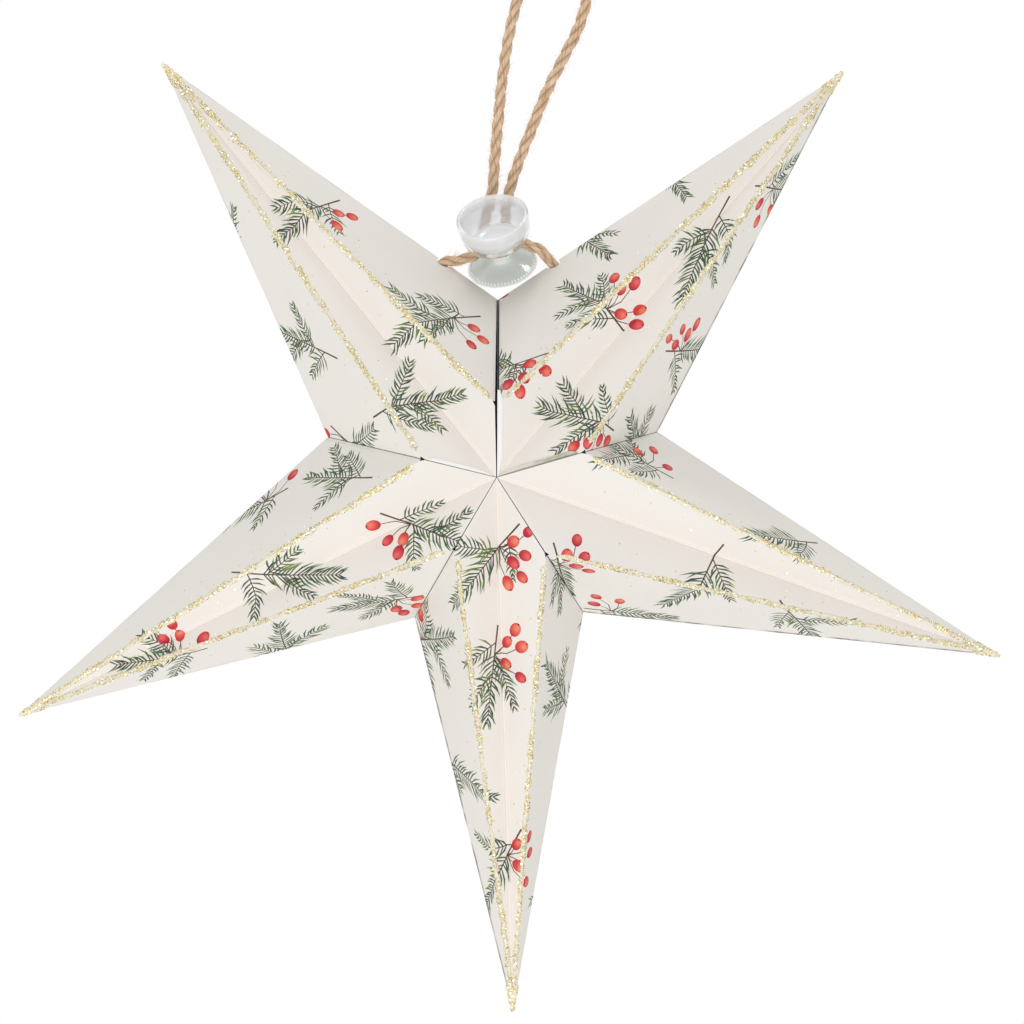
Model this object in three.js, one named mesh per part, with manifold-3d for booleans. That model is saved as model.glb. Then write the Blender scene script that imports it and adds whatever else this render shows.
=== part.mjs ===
// Folded paper star ornament on a twine loop, with a clear suction cup threaded on the twine.
// Millimetres, +Z up, front of the star towards -Y, origin at the top of the twine loop.
// Five hollow points, each folded from card: in front two centre panels that meet in a valley
// crease and two side panels beyond the ridges, and the same four behind. Each panel is one flat
// facet between its creases, so that the star can fold up like a fan about its front-back axis.
import * as THREE from 'three';
import { ConvexGeometry } from 'three/addons/geometries/ConvexGeometry.js';
import { mergeVertices } from 'three/addons/utils/BufferGeometryUtils.js';
import Module from 'manifold-3d';

const wasm = await Module();
wasm.setup();

// ---- star ----
const tipRadius = 163;            // centre to the end of a point
const centreHeight = 34;          // valley creases meet this far in front of the middle plane
const ridgeHeight = 38;           // inner ends of the ridges, in front of the middle plane
const cardThickness = 0.4;
const creaseGap = 0.2;            // half the gap kept along a crease
const edgeLand = 0.02;            // half the thickness left on a panel's bevelled edge

// Points, counterclockwise seen from the front, and the bearing of each tip from +X in degrees.
const points = [
  { name: 'upper_left_point', bearing: 128.9 },
  { name: 'left_point', bearing: 206.4 },
  { name: 'bottom_point', bearing: 271.7 },
  { name: 'right_point', bearing: 340.5 },
  { name: 'upper_right_point', bearing: 409.6 },
];
// Seams between the points, in the same order: seam i comes before point i.
// The first one is the open seam at the top, where the twine holds the star together.
// The rooms are what the panels beside a seam leave free: at the notch and at the inner ends of
// the ridges, on the seam, and at the notch on the point's side edge. The panels sway past these
// lines a little while the star folds.
const seams = [
  { bearing: 89.7, notchRadius: 54.6, ridgeRadius: 21.5, notchRoom: 0.6, ridgeRoom: 0.3,
    edgeRoom: 0.7 },
  { bearing: 166.4, notchRadius: 53.3, ridgeRadius: 22.8, notchRoom: 3.35, ridgeRoom: 1.05,
    edgeRoom: 0.3 },
  { bearing: 239.5, notchRadius: 49.5, ridgeRadius: 24.7, notchRoom: 1.9, ridgeRoom: 0.6,
    edgeRoom: 0.2 },
  { bearing: 302.7, notchRadius: 48.8, ridgeRadius: 27.3, notchRoom: 1.6, ridgeRoom: 0.7,
    edgeRoom: 0.2 },
  { bearing: 376.0, notchRadius: 51.1, ridgeRadius: 27.0, notchRoom: 2.0, ridgeRoom: 0.8,
    edgeRoom: 0.2 },
];

// Room that the panels need while the star folds.
const valleyRoom = 0.8;           // centre panels, at the middle of the star
const hubSeamRoom = 0.35;         // at the middle of the star, on the seam
const valleyAngle = 8.2;          // half angles between neighbouring panels, folded up
const ridgeAngle = 5.6;
const seamAngle = 9;
const sideEdgeAngle = 40;         // half angle of a side edge, open

// ---- glittered tips ----
const tipLength = 7.6;
const tipBaseWidth = 4.6;
const tipBaseDepth = 4.4;
const tipEndWidth = 2.4;
const tipOverhang = 1.0;          // beyond the end of the panels
const tipSides = 10;
const panelStart = 8.3;           // panels begin this far from the end of the point

// ---- twine ----
const twineDiameter = 3.5;
const twineSides = 8;
const twineStep = 2;              // tube step, in diameters
const holeDiameter = 4.3;
const holeFromNotch = 20;         // along the side edge, from the notch to the hole
const holeSlant = 25;             // the twine enters this far off square to the side edge
const twineInside = 6;            // beyond the side edge, inside the star
const knotDiameter = 6;

// ---- suction cup ----
const cupLean = 49.3;             // tilt of its axis from the front-back line, upwards
const cupTurn = 12.6;             // and its lean to the left, seen from the front
const cupNeck = [1.1, -3.2, 68];  // middle of the neck, from the middle of the star
const neckRadius = 2;
const grooveBelow = 1.7;          // groove for the twine, either side of the neck's middle
const grooveAbove = 2.6;
const bowlBaseRadius = 9.2;
const bowlRimRadius = 11;
const bowlHeight = 15.5;
const bowlWall = 1.3;
const bowlFloor = 8.2;            // height of the bowl's floor inside
const discRadius = 10.8;
const discDrop = 2.3;             // from its back at the neck to its rim
const discWall = 0.9;
const cupSegments = 24;

// Top of the twine loop, from the middle of the star.
const loopTop = [22.5, 0, 187];

const rad = THREE.MathUtils.degToRad;
const V = (x, y, z) => new THREE.Vector3(x, y, z);

// Distance r from the star's axis at a bearing, and a depth y.
const polar = (r, bearing, y = 0) => V(r * Math.cos(rad(bearing)), y, r * Math.sin(rad(bearing)));

// How far a face of the card stays back from a crease that closes to a half angle.
const bevel = (angle) => (cardThickness / 2 - edgeLand) / Math.tan(rad(angle));

// Corners of a polygon whose edges are moved inwards. Each edge has an inset at both ends.
function insetPolygon(corners, insets, extra) {
  const lines = corners.map((a, i) => {
    const b = corners[(i + 1) % corners.length];
    const n = V(0, 0, 0).subVectors(b, a).normalize();
    n.set(-n.y, n.x, 0);
    const [sa, sb] = insets[i].map((s) => s + extra[i]);
    return [a.clone().addScaledVector(n, sa), b.clone().addScaledVector(n, sb)];
  });
  return lines.map(([p, q], i) => {
    const [r, s] = lines[(i + lines.length - 1) % lines.length];
    const d = V(0, 0, 0).subVectors(q, p);
    const e = V(0, 0, 0).subVectors(s, r);
    const t = ((r.x - p.x) * e.y - (r.y - p.y) * e.x) / (d.x * e.y - d.y * e.x);
    return p.clone().addScaledVector(d, t);
  });
}

// Part of a polygon further than `start` from its first corner along the middle direction.
function cutCorner(polygon, apex, direction, start) {
  const side = (p) => V(0, 0, 0).subVectors(p, apex).dot(direction) - start;
  return polygon.flatMap((p, i) => {
    const q = polygon[(i + 1) % polygon.length];
    const [a, b] = [side(p), side(q)];
    const kept = a >= 0 ? [p] : [];
    return a * b < 0 ? [...kept, p.clone().lerp(q, a / (a - b))] : kept;
  });
}

// One flat facet of card with bevelled edges, from its three corners and the insets of its edges.
function panelGeometry(tip, second, third, insets, angles) {
  const u = V(0, 0, 0).subVectors(second, tip).normalize();
  const n = V(0, 0, 0).crossVectors(u, V(0, 0, 0).subVectors(third, tip)).normalize();
  const v = V(0, 0, 0).crossVectors(n, u);
  const flat = (p) => V(p.clone().sub(tip).dot(u), p.clone().sub(tip).dot(v), 0);
  const corners = [tip, second, third].map(flat);
  const middle = corners[1].clone().normalize().add(corners[2].clone().normalize()).normalize();
  const layer = (extra, z) => cutCorner(insetPolygon(corners, insets, extra), corners[0], middle,
    panelStart).map((p) => tip.clone().addScaledVector(u, p.x).addScaledVector(v, p.y)
    .addScaledVector(n, z));
  const half = cardThickness / 2;
  const face = angles.map(bevel);
  return new ConvexGeometry([...layer(face, -half), ...layer([0, 0, 0], -edgeLand),
    ...layer([0, 0, 0], edgeLand), ...layer(face, half)]);
}

function toManifold(geometry) {
  const bare = geometry.clone();
  bare.deleteAttribute('normal');
  bare.deleteAttribute('uv');
  const merged = mergeVertices(bare, 1e-5);
  return new wasm.Manifold(new wasm.Mesh({
    numProp: 3,
    vertProperties: new Float32Array(merged.attributes.position.array),
    triVerts: new Uint32Array(merged.index.array),
  }));
}

function fromManifold(solid) {
  const mesh = solid.getMesh();
  const geometry = new THREE.BufferGeometry();
  geometry.setAttribute('position', new THREE.BufferAttribute(mesh.vertProperties, 3));
  geometry.setIndex(new THREE.BufferAttribute(mesh.triVerts, 1));
  const faceted = geometry.toNonIndexed();
  faceted.computeVertexNormals();
  return faceted;
}

// Where the twine goes through a side edge, and the direction into the star there.
function holeAt(seam, tipBearing) {
  const notch = polar(seam.notchRadius, seam.bearing);
  const tip = polar(tipRadius, tipBearing);
  const along = tip.clone().sub(notch).normalize();
  const at = notch.clone().addScaledVector(along, holeFromNotch);
  const square = notch.clone().negate().projectOnPlane(along).normalize();
  const inward = square.multiplyScalar(Math.cos(rad(holeSlant)))
    .addScaledVector(along, Math.sin(rad(holeSlant)));
  return { at, inward };
}
const leftHole = holeAt(seams[0], points[0].bearing);
const topSeamRight = { ...seams[0], bearing: seams[0].bearing + 360 };
const rightHole = holeAt(topSeamRight, points[4].bearing);

function holeCutter({ at, inward }) {
  const cylinder = new THREE.CylinderGeometry(holeDiameter / 2, holeDiameter / 2,
    4 * holeDiameter, 16);
  cylinder.applyQuaternion(new THREE.Quaternion().setFromUnitVectors(V(0, 1, 0), inward));
  cylinder.translate(at.x, at.y, at.z);
  return toManifold(cylinder);
}

const star = new THREE.Group();
const root = new THREE.Group();
root.add(star);
star.position.set(-loopTop[0], -loopTop[1], -loopTop[2]);

function addMesh(name, geometry, material) {
  const mesh = new THREE.Mesh(geometry, new THREE.MeshStandardMaterial(material));
  mesh.name = name;
  star.add(mesh);
}

const cream = { color: 0xece6df, roughness: 0.75, metalness: 0 };
const shaded = { color: 0xe2ddd7, roughness: 0.75, metalness: 0 };
const gold = { color: 0xc9a45a, roughness: 0.35, metalness: 0.8 };

// ---- panels ----
const ridgeInset = [creaseGap, creaseGap];
points.forEach((point, i) => {
  const seamBefore = seams[i];
  const seamAfter = i + 1 < seams.length ? seams[i + 1] : topSeamRight;
  const tip = polar(tipRadius, point.bearing);
  for (const [sideName, seam] of [['right', seamBefore], ['left', seamAfter]]) {
    for (const [faceName, sign] of [['front', -1], ['back', 1]]) {
      const hub = V(0, sign * centreHeight, 0);
      const ridge = polar(seam.ridgeRadius, seam.bearing, sign * ridgeHeight);
      const notch = polar(seam.notchRadius, seam.bearing);
      const centre = panelGeometry(tip, hub, ridge,
        [[creaseGap, creaseGap + valleyRoom], [creaseGap + hubSeamRoom,
          creaseGap + seam.ridgeRoom], ridgeInset],
        [valleyAngle, seamAngle, ridgeAngle]);
      let side = panelGeometry(tip, ridge, notch,
        [ridgeInset, [creaseGap + seam.ridgeRoom, creaseGap + seam.notchRoom],
          [creaseGap + seam.edgeRoom, creaseGap]],
        [ridgeAngle, seamAngle, sideEdgeAngle]);
      const hole = seam === seams[0] ? leftHole : seam === topSeamRight ? rightHole : null;
      if (hole) side = fromManifold(toManifold(side).subtract(holeCutter(hole)));
      addMesh(`${point.name}_${faceName}_centre_panel_${sideName}`, centre, cream);
      addMesh(`${point.name}_${faceName}_side_panel_${sideName}`, side, shaded);
    }
  }
});

// ---- glittered tips: a blunt drop over the end of each point, wider where the panels start ----
for (const point of points) {
  const profile = [[0, -tipLength], [0.5, -tipLength], [0.42, -0.6 * tipLength],
    [0.5 * tipEndWidth / tipBaseWidth, 0], [0.35 * tipEndWidth / tipBaseWidth, tipOverhang],
    [0, tipOverhang]].map(([r, h]) => new THREE.Vector2(r, h));
  const drop = new THREE.LatheGeometry(profile, tipSides);
  drop.scale(tipBaseWidth, 1, tipBaseDepth);
  const bearing = rad(point.bearing);
  const basis = new THREE.Matrix4().makeBasis(V(-Math.sin(bearing), 0, Math.cos(bearing)),
    V(Math.cos(bearing), 0, Math.sin(bearing)), V(0, 1, 0));
  drop.applyMatrix4(basis);
  const at = polar(tipRadius, point.bearing);
  drop.translate(at.x, at.y, at.z);
  addMesh(`${point.name}_glitter_tip`, drop, gold);
}

// ---- twine loop: from inside the left hole up and over, and down into the right hole ----
const hole3 = ({ at, inward }, d) => at.clone().addScaledVector(inward, d);
const turn = new THREE.Matrix4().makeRotationY(-rad(cupTurn));
const cupRight = V(1, 0, 0).applyMatrix4(turn);
const cupAxis = V(0, -Math.cos(rad(cupLean)), Math.sin(rad(cupLean))).applyMatrix4(turn);
const cupBack = V(0, Math.sin(rad(cupLean)), Math.cos(rad(cupLean))).applyMatrix4(turn);
// A place beside the cup's neck: to the right, to the back in the groove, and along the axis.
const atNeck = (x, back, up = 0) => V(...cupNeck).addScaledVector(cupRight, x)
  .addScaledVector(cupBack, back)
  .addScaledVector(cupAxis, up + (grooveAbove - grooveBelow) / 2);
const route = [
  hole3(leftHole, twineInside), hole3(leftHole, 0), atNeck(-13.6, 3, -0.9),
  atNeck(-11, 2.35, -0.4), atNeck(-8.6, 2.45, -0.1), atNeck(-6.4, 3.6), atNeck(-4.7, 5.7),
  atNeck(-3.8, 8.2, 0.15), atNeck(-3.35, 10.8, 0.9), atNeck(-2.8, 13.3, 2.4),
  V(-1.5, 4, 88), V(-0.7, 1.6, 98), V(0.3, 0.4, 109),
  V(1.6, 0, 122), V(3.9, 0, 137), V(6.6, 0, 148), V(12.2, 0, 169), V(14.4, 0, 178.9),
  V(15.5, 0, 183), V(18.4, 0, 185.9), V(...loopTop), V(26.6, 0, 185.9), V(29.5, 0, 183),
  V(30.6, 0, 178.9), V(30.7, 0, 169), V(27.6, 0, 147), V(24.9, 0, 138), V(20.7, 0, 129.5),
  V(15.5, 0, 119), V(11, 0.4, 108), V(7, 1.6, 98), V(3.8, 4, 88),
  atNeck(4.1, 13.3, 2.4), atNeck(3.95, 10.8, 0.9), atNeck(4.2, 8.2, 0.15), atNeck(5.2, 5.8),
  atNeck(6.9, 3.8), atNeck(8.9, 2.2, -0.3), atNeck(11, 0.9, -1.1), atNeck(13.1, -0.1, -3),
  hole3(rightHole, 0), hole3(rightHole, twineInside),
];
const twinePath = new THREE.CatmullRomCurve3(route, false, 'centripetal');
const twineSection = new THREE.Shape(Array.from({ length: twineSides }, (_, k) => {
  const a = (2 * Math.PI * (k + 0.5)) / twineSides;
  return new THREE.Vector2(Math.cos(a), Math.sin(a)).multiplyScalar(twineDiameter / 2);
}));
const twineSteps = Math.min(80, Math.round(twinePath.getLength() / (twineStep * twineDiameter)));
let twine = toManifold(new THREE.ExtrudeGeometry(twineSection,
  { steps: twineSteps, extrudePath: twinePath }));
for (const hole of [leftHole, rightHole]) {
  const knot = new THREE.SphereGeometry(knotDiameter / 2, 8, 6);
  const at = hole3(hole, twineInside);
  knot.translate(at.x, at.y, at.z);
  twine = twine.add(toManifold(knot));
}
addMesh('twine_loop', fromManifold(twine), { color: 0xb98a52, roughness: 0.95, metalness: 0 });

// ---- clear suction cup: a flat disc, a neck and a deep bowl in one ----
const discInside = grooveBelow + discWall;
const cupProfile = [[0, -discInside], [discRadius - discWall, -grooveBelow - discDrop],
  [discRadius, -grooveBelow - discDrop], [discRadius, -grooveBelow - discDrop + discWall / 2],
  [0.55 * discRadius, -grooveBelow - 0.25 * discDrop], [neckRadius, -grooveBelow],
  [neckRadius, grooveAbove], [bowlBaseRadius - bowlWall, grooveAbove + bowlWall / 2],
  [bowlBaseRadius, grooveAbove + 2 * bowlWall], [bowlRimRadius, bowlHeight],
  [bowlRimRadius - bowlWall, bowlHeight],
  [bowlBaseRadius - bowlWall, bowlFloor + bowlWall], [0.6 * bowlBaseRadius, bowlFloor],
  [0, bowlFloor]].map(([r, h]) => new THREE.Vector2(r, h));
const cup = new THREE.LatheGeometry(cupProfile, cupSegments);
cup.rotateX(rad(180 - cupLean));
cup.rotateY(-rad(cupTurn));
cup.translate(...cupNeck);
addMesh('suction_cup', cup, { color: 0xf2f6f6, roughness: 0.12, metalness: 0, transparent: true,
  opacity: 0.45 });

export default root;
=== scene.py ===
# %% [markdown]
# # A hanging paper star
# A hollow star of folded, printed card hangs on a loop of jute twine, and a clear suction cup
# sits where the two strands of the twine meet. The folded card is made as flat panels, because
# each panel between two creases turns by itself when the star folds up like a fan.
# This first cell loads the measured model, which every piece below is fitted to.

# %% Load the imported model
import math
import random

import bpy
import numpy as np
from mathutils import Matrix, Vector, noise
from mathutils.geometry import delaunay_2d_cdt


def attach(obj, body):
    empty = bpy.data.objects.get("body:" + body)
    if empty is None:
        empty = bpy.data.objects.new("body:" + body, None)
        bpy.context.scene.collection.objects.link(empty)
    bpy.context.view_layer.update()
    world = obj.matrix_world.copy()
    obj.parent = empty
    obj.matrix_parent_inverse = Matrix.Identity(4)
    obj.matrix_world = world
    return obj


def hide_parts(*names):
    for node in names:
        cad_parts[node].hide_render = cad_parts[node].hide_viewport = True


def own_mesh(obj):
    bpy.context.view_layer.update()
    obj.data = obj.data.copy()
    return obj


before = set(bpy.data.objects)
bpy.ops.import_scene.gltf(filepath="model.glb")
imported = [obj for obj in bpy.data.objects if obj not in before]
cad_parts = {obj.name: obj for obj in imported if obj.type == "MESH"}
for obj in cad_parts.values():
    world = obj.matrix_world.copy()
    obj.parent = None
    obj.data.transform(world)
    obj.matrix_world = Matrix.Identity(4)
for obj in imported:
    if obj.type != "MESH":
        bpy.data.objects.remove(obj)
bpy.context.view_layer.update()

# %% [markdown]
# ## Camera
# The photograph looks straight at the front with hardly any perspective, so a long lens stands
# 1.5 m away. At the middle of the star one pixel of the picture is 0.3067 mm.

# %% Camera
MM = 0.001
STAR = Vector((-22.5, 0, -187))              # middle of the star, in mm from the top of the loop
PIXEL = 0.3067
PICTURE = 1024
CAMERA_DISTANCE = 1500
camera = bpy.data.objects.new("camera", bpy.data.cameras.new("camera"))
bpy.context.scene.collection.objects.link(camera)
camera.data.sensor_width = 36
camera.data.lens = 36 * CAMERA_DISTANCE / (PICTURE * PIXEL)
camera.location = (STAR + Vector((4.6, -CAMERA_DISTANCE, -10.43))) * MM
camera.rotation_euler = (math.radians(90), 0, 0)
bpy.context.scene.camera = camera
print("lens", round(camera.data.lens, 1), "mm")

# %% [markdown]
# ## Small helpers
# Lengths are written in millimetres from the middle of the star, and turned into metres only
# when a mesh is made. A piece always rides on one body of the model and names its material slot.

# %% Helpers for meshes
def new_object(name, verts, faces, body=None, materials=()):
    mesh = bpy.data.meshes.new(name)
    mesh.from_pydata([(Vector(v) + STAR) * MM for v in verts], [], faces)
    mesh.update()
    obj = bpy.data.objects.new(name, mesh)
    bpy.context.scene.collection.objects.link(obj)
    for material in materials:
        mesh.materials.append(material)
    if body:
        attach(obj, body)
    return obj


def corner_colours(mesh, name, colours):
    layer = mesh.color_attributes.new(name, "FLOAT_COLOR", "CORNER")
    layer.data.foreach_set("color", np.array(colours, np.float32).ravel())


def point_values(mesh, name, kind, values):
    """A value or a vector at every point of a mesh, for its material or for a tree."""
    layer = mesh.attributes.new(name, kind, "POINT")
    layer.data.foreach_set("value" if kind == "FLOAT" else "vector",
                           np.array(values, np.float32).ravel())


def polar(radius, bearing, y=0.0):
    a = math.radians(bearing)
    return Vector((radius * math.cos(a), y, radius * math.sin(a)))


def blend(first, last, t):
    return tuple(a + (b - a) * t for a, b in zip(first, last))


def clamp(value, low=0, high=1):
    return min(max(value, low), high)


print("100 mm straight up from the middle is", [round(v, 1) for v in polar(100, 90)])

# %% [markdown]
# A material or a Geometry Nodes tree is a graph of nodes. One helper makes a node, sets it up
# and joins its inputs, so that each graph below reads as a list of its steps. Colours are given
# as values from 0 to 255, as a picture editor shows them, and made linear for the shaders.

# %% Helpers for nodes and colours
def add_node(tree, kind, inputs=None, **settings):
    """A node with its settings. An input is linked if it is given a socket, and else set."""
    node = tree.nodes.new(kind)
    for key, value in settings.items():
        setattr(node, key, value)
    for key, value in (inputs or {}).items():
        if isinstance(value, bpy.types.NodeSocket):
            tree.links.new(value, node.inputs[key])
        else:
            node.inputs[key].default_value = value
    return node


def add_socket(tree, label, kind, value=None, way="INPUT"):
    socket = tree.interface.new_socket(label, in_out=way, socket_type="NodeSocket" + kind)
    if value is not None:
        socket.default_value = value
    return socket


def maths(tree, operation, *values):
    node = add_node(tree, "ShaderNodeMath", dict(enumerate(values)), operation=operation)
    return node.outputs[0]


def new_material(name, **principled):
    material = bpy.data.materials.new(name)
    material.use_nodes = True
    shader = material.node_tree.nodes["Principled BSDF"]
    for key, value in principled.items():
        shader.inputs[key.replace("_", " ")].default_value = value
    return material, material.node_tree, shader


def linear(r, g, b):
    """The colour of 0 to 255 values, as a shader wants it."""
    def one(c):
        c = c / 255
        return c / 12.92 if c <= 0.04045 else ((c + 0.055) / 1.055) ** 2.4
    return (one(r), one(g), one(b), 1.0)


def attribute(tree, name, output):
    """The socket of a named attribute of the mesh."""
    return add_node(tree, "ShaderNodeAttribute", attribute_name=name).outputs[output]


def colour_ramp(tree, factor, stops):
    """A ramp of colours of 0 to 255 values, each with its place from 0 to 1."""
    ramp = add_node(tree, "ShaderNodeValToRGB", {0: factor})
    elements = ramp.color_ramp.elements
    for place, _ in stops[1:-1]:
        elements.new(place)
    for element, (place, rgb) in zip(elements, stops):
        element.position, element.color = place, linear(*rgb)
    return ramp.outputs[0]


MIX_A, MIX_B, MIX_RESULT = 6, 7, 2           # the colour sockets of a Mix node


def multiplied(tree, colour, tint):
    """A colour, given as a value or a socket, times the colour of a socket."""
    mix = add_node(tree, "ShaderNodeMix", {"Factor": 1.0, MIX_A: colour, MIX_B: tint},
                   data_type="RGBA", blend_type="MULTIPLY")
    return mix.outputs[MIX_RESULT]


def add_bump(tree, shader, height, distance):
    bump = add_node(tree, "ShaderNodeBump",
                    {"Strength": 1.0, "Distance": distance, "Height": height})
    tree.links.new(bump.outputs["Normal"], shader.inputs["Normal"])


print("card at 243, 239, 232 is", [round(c, 3) for c in linear(243, 239, 232)[:3]], "in a shader")

# %% [markdown]
# ## A shared effect: fine grain
# Card, twine and glue all have a fine uneven surface. One node group makes it from the piece's
# own coordinates. It puts out a tint that lightens and darkens a colour, and a height for a
# Bump node. Each material sets its own scale and strength.

# %% Node group: fine grain
def make_grain_group():
    tree = bpy.data.node_groups.new("Fine grain", "ShaderNodeTree")
    add_socket(tree, "Vector", "Vector")
    for label, value in (("Grain scale", 900.0), ("Mottle scale", 60.0), ("Tint", 0.04)):
        add_socket(tree, label, "Float", value)
    for label in ("Tint", "Height"):
        add_socket(tree, label, "Float", way="OUTPUT")
    start = tree.nodes.new("NodeGroupInput")
    grain, mottle = (
        add_node(tree, "ShaderNodeTexNoise", {"Vector": start.outputs["Vector"],
                                              "Scale": start.outputs[label],
                                              "Detail": detail}).outputs[0]
        for label, detail in (("Grain scale", 4), ("Mottle scale", 2)))
    centred = maths(tree, "SUBTRACT", maths(tree, "ADD", grain, mottle), 1.0)
    tint = maths(tree, "MULTIPLY_ADD", centred, start.outputs["Tint"], 1.0)
    add_node(tree, "NodeGroupOutput", {"Tint": tint, "Height": grain})
    return tree


GRAIN = make_grain_group()


def add_grain(tree, shader, colour, scale, mottle, tint, bump):
    """Colour times the grain's tint into Base Color, and its height into a Bump node."""
    place = tree.nodes.new("ShaderNodeTexCoord").outputs["Object"]
    group = add_node(tree, "ShaderNodeGroup", {"Vector": place, "Grain scale": scale,
                                               "Mottle scale": mottle, "Tint": tint},
                     node_tree=GRAIN)
    tinted = multiplied(tree, colour, group.outputs["Tint"])
    tree.links.new(tinted, shader.inputs["Base Color"])
    add_bump(tree, shader, group.outputs["Height"], bump)


print("group", GRAIN.name, "sockets", len(GRAIN.interface.items_tree))

# %% [markdown]
# ## Materials
# The card is matt coated paper. Its print is kept as a colour on the corners of the mesh, so
# the ink has crisp edges and no image is needed. The bare card is the same paper without ink.
# Glitter is thin gold flake with its own tone for each flake, set in a pale glossy glue.
# Jute is dull, with streaks that run along each strand and shade painted into its grooves. The cup
# is clear soft plastic.

# %% Card materials
PAPER = linear(243, 239, 232)
WHITE_PAPER = linear(250, 249, 246)


def card_material(name, colour=None):
    """Matt card of one colour, or with the colours of its mesh if none is given."""
    material, tree, shader = new_material(name, Roughness=0.62, Specular_IOR_Level=0.35)
    add_grain(tree, shader, colour or attribute(tree, "print", "Color"),
              scale=1500, mottle=45, tint=0.05, bump=0.00003)
    return material


printed_card = card_material("printed card")
bare_card = card_material("bare card", WHITE_PAPER)
print("materials", printed_card.name, "and", bare_card.name)

# %% Glitter materials
flake_material, tree, shader = new_material("glitter flake", Metallic=0.9, Roughness=0.22)
gold = colour_ramp(tree, attribute(tree, "tone", "Fac"), (
    (0.0, (150, 118, 52)), (0.25, (205, 176, 94)), (0.58, (232, 212, 136)),
    (0.82, (247, 236, 188)), (1.0, (255, 255, 250))))
tree.links.new(gold, shader.inputs["Base Color"])

glue_material, tree, shader = new_material("glitter glue", Roughness=0.3, Coat_Weight=0.4)
add_grain(tree, shader, linear(243, 236, 214), scale=2600, mottle=400, tint=0.2, bump=0.00012)
print("materials", flake_material.name, "and", glue_material.name)

# %% Twine material
jute, tree, shader = new_material("jute", Roughness=0.9, Specular_IOR_Level=0.2,
                                  Sheen_Weight=0.15)
stretch = add_node(tree, "ShaderNodeMapping", {"Vector": attribute(tree, "strand", "Vector"),
                                               "Scale": (0.16, 2.3, 2.3)})
streak = add_node(tree, "ShaderNodeTexNoise", {"Vector": stretch.outputs[0], "Scale": 1.0,
                                               "Detail": 5}).outputs[0]
straw = colour_ramp(tree, streak, (
    (0.28, (196, 154, 117)), (0.5, (231, 197, 163)), (0.72, (250, 228, 204))))
# the painted shade of the grooves darkens the straw colour
shaded = multiplied(tree, straw, attribute(tree, "shade", "Color"))
tree.links.new(shaded, shader.inputs["Base Color"])
add_bump(tree, shader, streak, 0.0002)
print("material", jute.name)

# %% Clear plastic materials
def plastic(name, transmission, ior, roughness, tones):
    """Soft clear plastic whose tone at each height of the cup is in the "veil" attribute."""
    material, tree, shader = new_material(name, Roughness=roughness, IOR=ior, Coat_Weight=1.0,
                                          Transmission_Weight=transmission, Coat_Roughness=0.04)
    tone = colour_ramp(tree, attribute(tree, "veil", "Fac"), tuple(enumerate(tones)))
    add_grain(tree, shader, tone, scale=300, mottle=60, tint=0.03, bump=0.00004)
    return material


clear_plastic = plastic("clear plastic", 0.95, 1.06, 0.04, ((184, 190, 183), (254, 255, 254)))
milky_plastic = plastic("milky plastic", 0.45, 1.1, 0.14, ((182, 184, 184), (254, 254, 255)))
# painted glints and a painted reflection: opaque white plastic for the beads round the head's rim
# and for the bowl's floor
glint_and_reflection_plastic = plastic("bright bead plastic", 0.0, 1.45, 0.1, ((225, 230, 226), (255, 255, 255)))
print("materials", clear_plastic.name, milky_plastic.name, glint_and_reflection_plastic.name)

# %% [markdown]
# ## The twine
# The twine is about 29 cm of jute, of three plies twisted together. It enters the star through
# two punched holes, passes round the neck of the cup, and makes the hanging loop above.
# It is made first, as a tube along the measured route. Its section is the outline of three
# touching plies, and it turns once in 16 mm, so the grooves between the plies wind round it.
# Shade is painted into the grooves, as a colour on the points that darkens towards each groove.

# %% Route of the twine
ROUTE = [(-21.27, 0, 63.12), (-16.07, 0, 66.11), (-12.52, -0.63, 66.61), (-9.98, -1.45, 67.13),
         (-7.70, -1.57, 67.94), (-5.73, -0.76, 69.23), (-4.37, 0.83, 70.94), (-3.87, 2.63, 72.83),
         (-3.93, 4.11, 75.14), (-4.00, 5.02, 77.96), (-1.50, 4.00, 88), (-0.70, 1.60, 98),
         (0.30, 0.40, 109), (1.60, 0, 122), (3.90, 0, 137), (6.60, 0, 148), (12.20, 0, 169),
         (14.40, 0, 178.9), (15.50, 0, 183), (18.40, 0, 185.9), (22.50, 0, 187),
         (26.60, 0, 185.9), (29.50, 0, 183), (30.60, 0, 178.9), (30.70, 0, 169), (27.60, 0, 147),
         (24.90, 0, 138), (20.70, 0, 129.5), (15.50, 0, 119), (11.00, 0.40, 108),
         (7.00, 1.60, 98), (3.80, 4.00, 88), (2.74, 5.02, 79.47), (3.20, 4.11, 76.73),
         (3.93, 2.63, 74.58), (5.28, 0.90, 73.16), (7.22, -0.61, 72.26), (9.45, -1.63, 71.45),
         (11.81, -2.09, 70.49), (14.32, -1.61, 68.91), (16.98, 0, 65.62), (22.09, 0, 62.47)]
ROUTE_STEP = 0.6
SPAN_STEPS = 24              # fine steps between two points of the route


def between(a, b, start, end, t):
    """The place at t on the line from a, at start, to b, at end."""
    return a * ((end - t) / (end - start)) + b * ((t - start) / (end - start))


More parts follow.
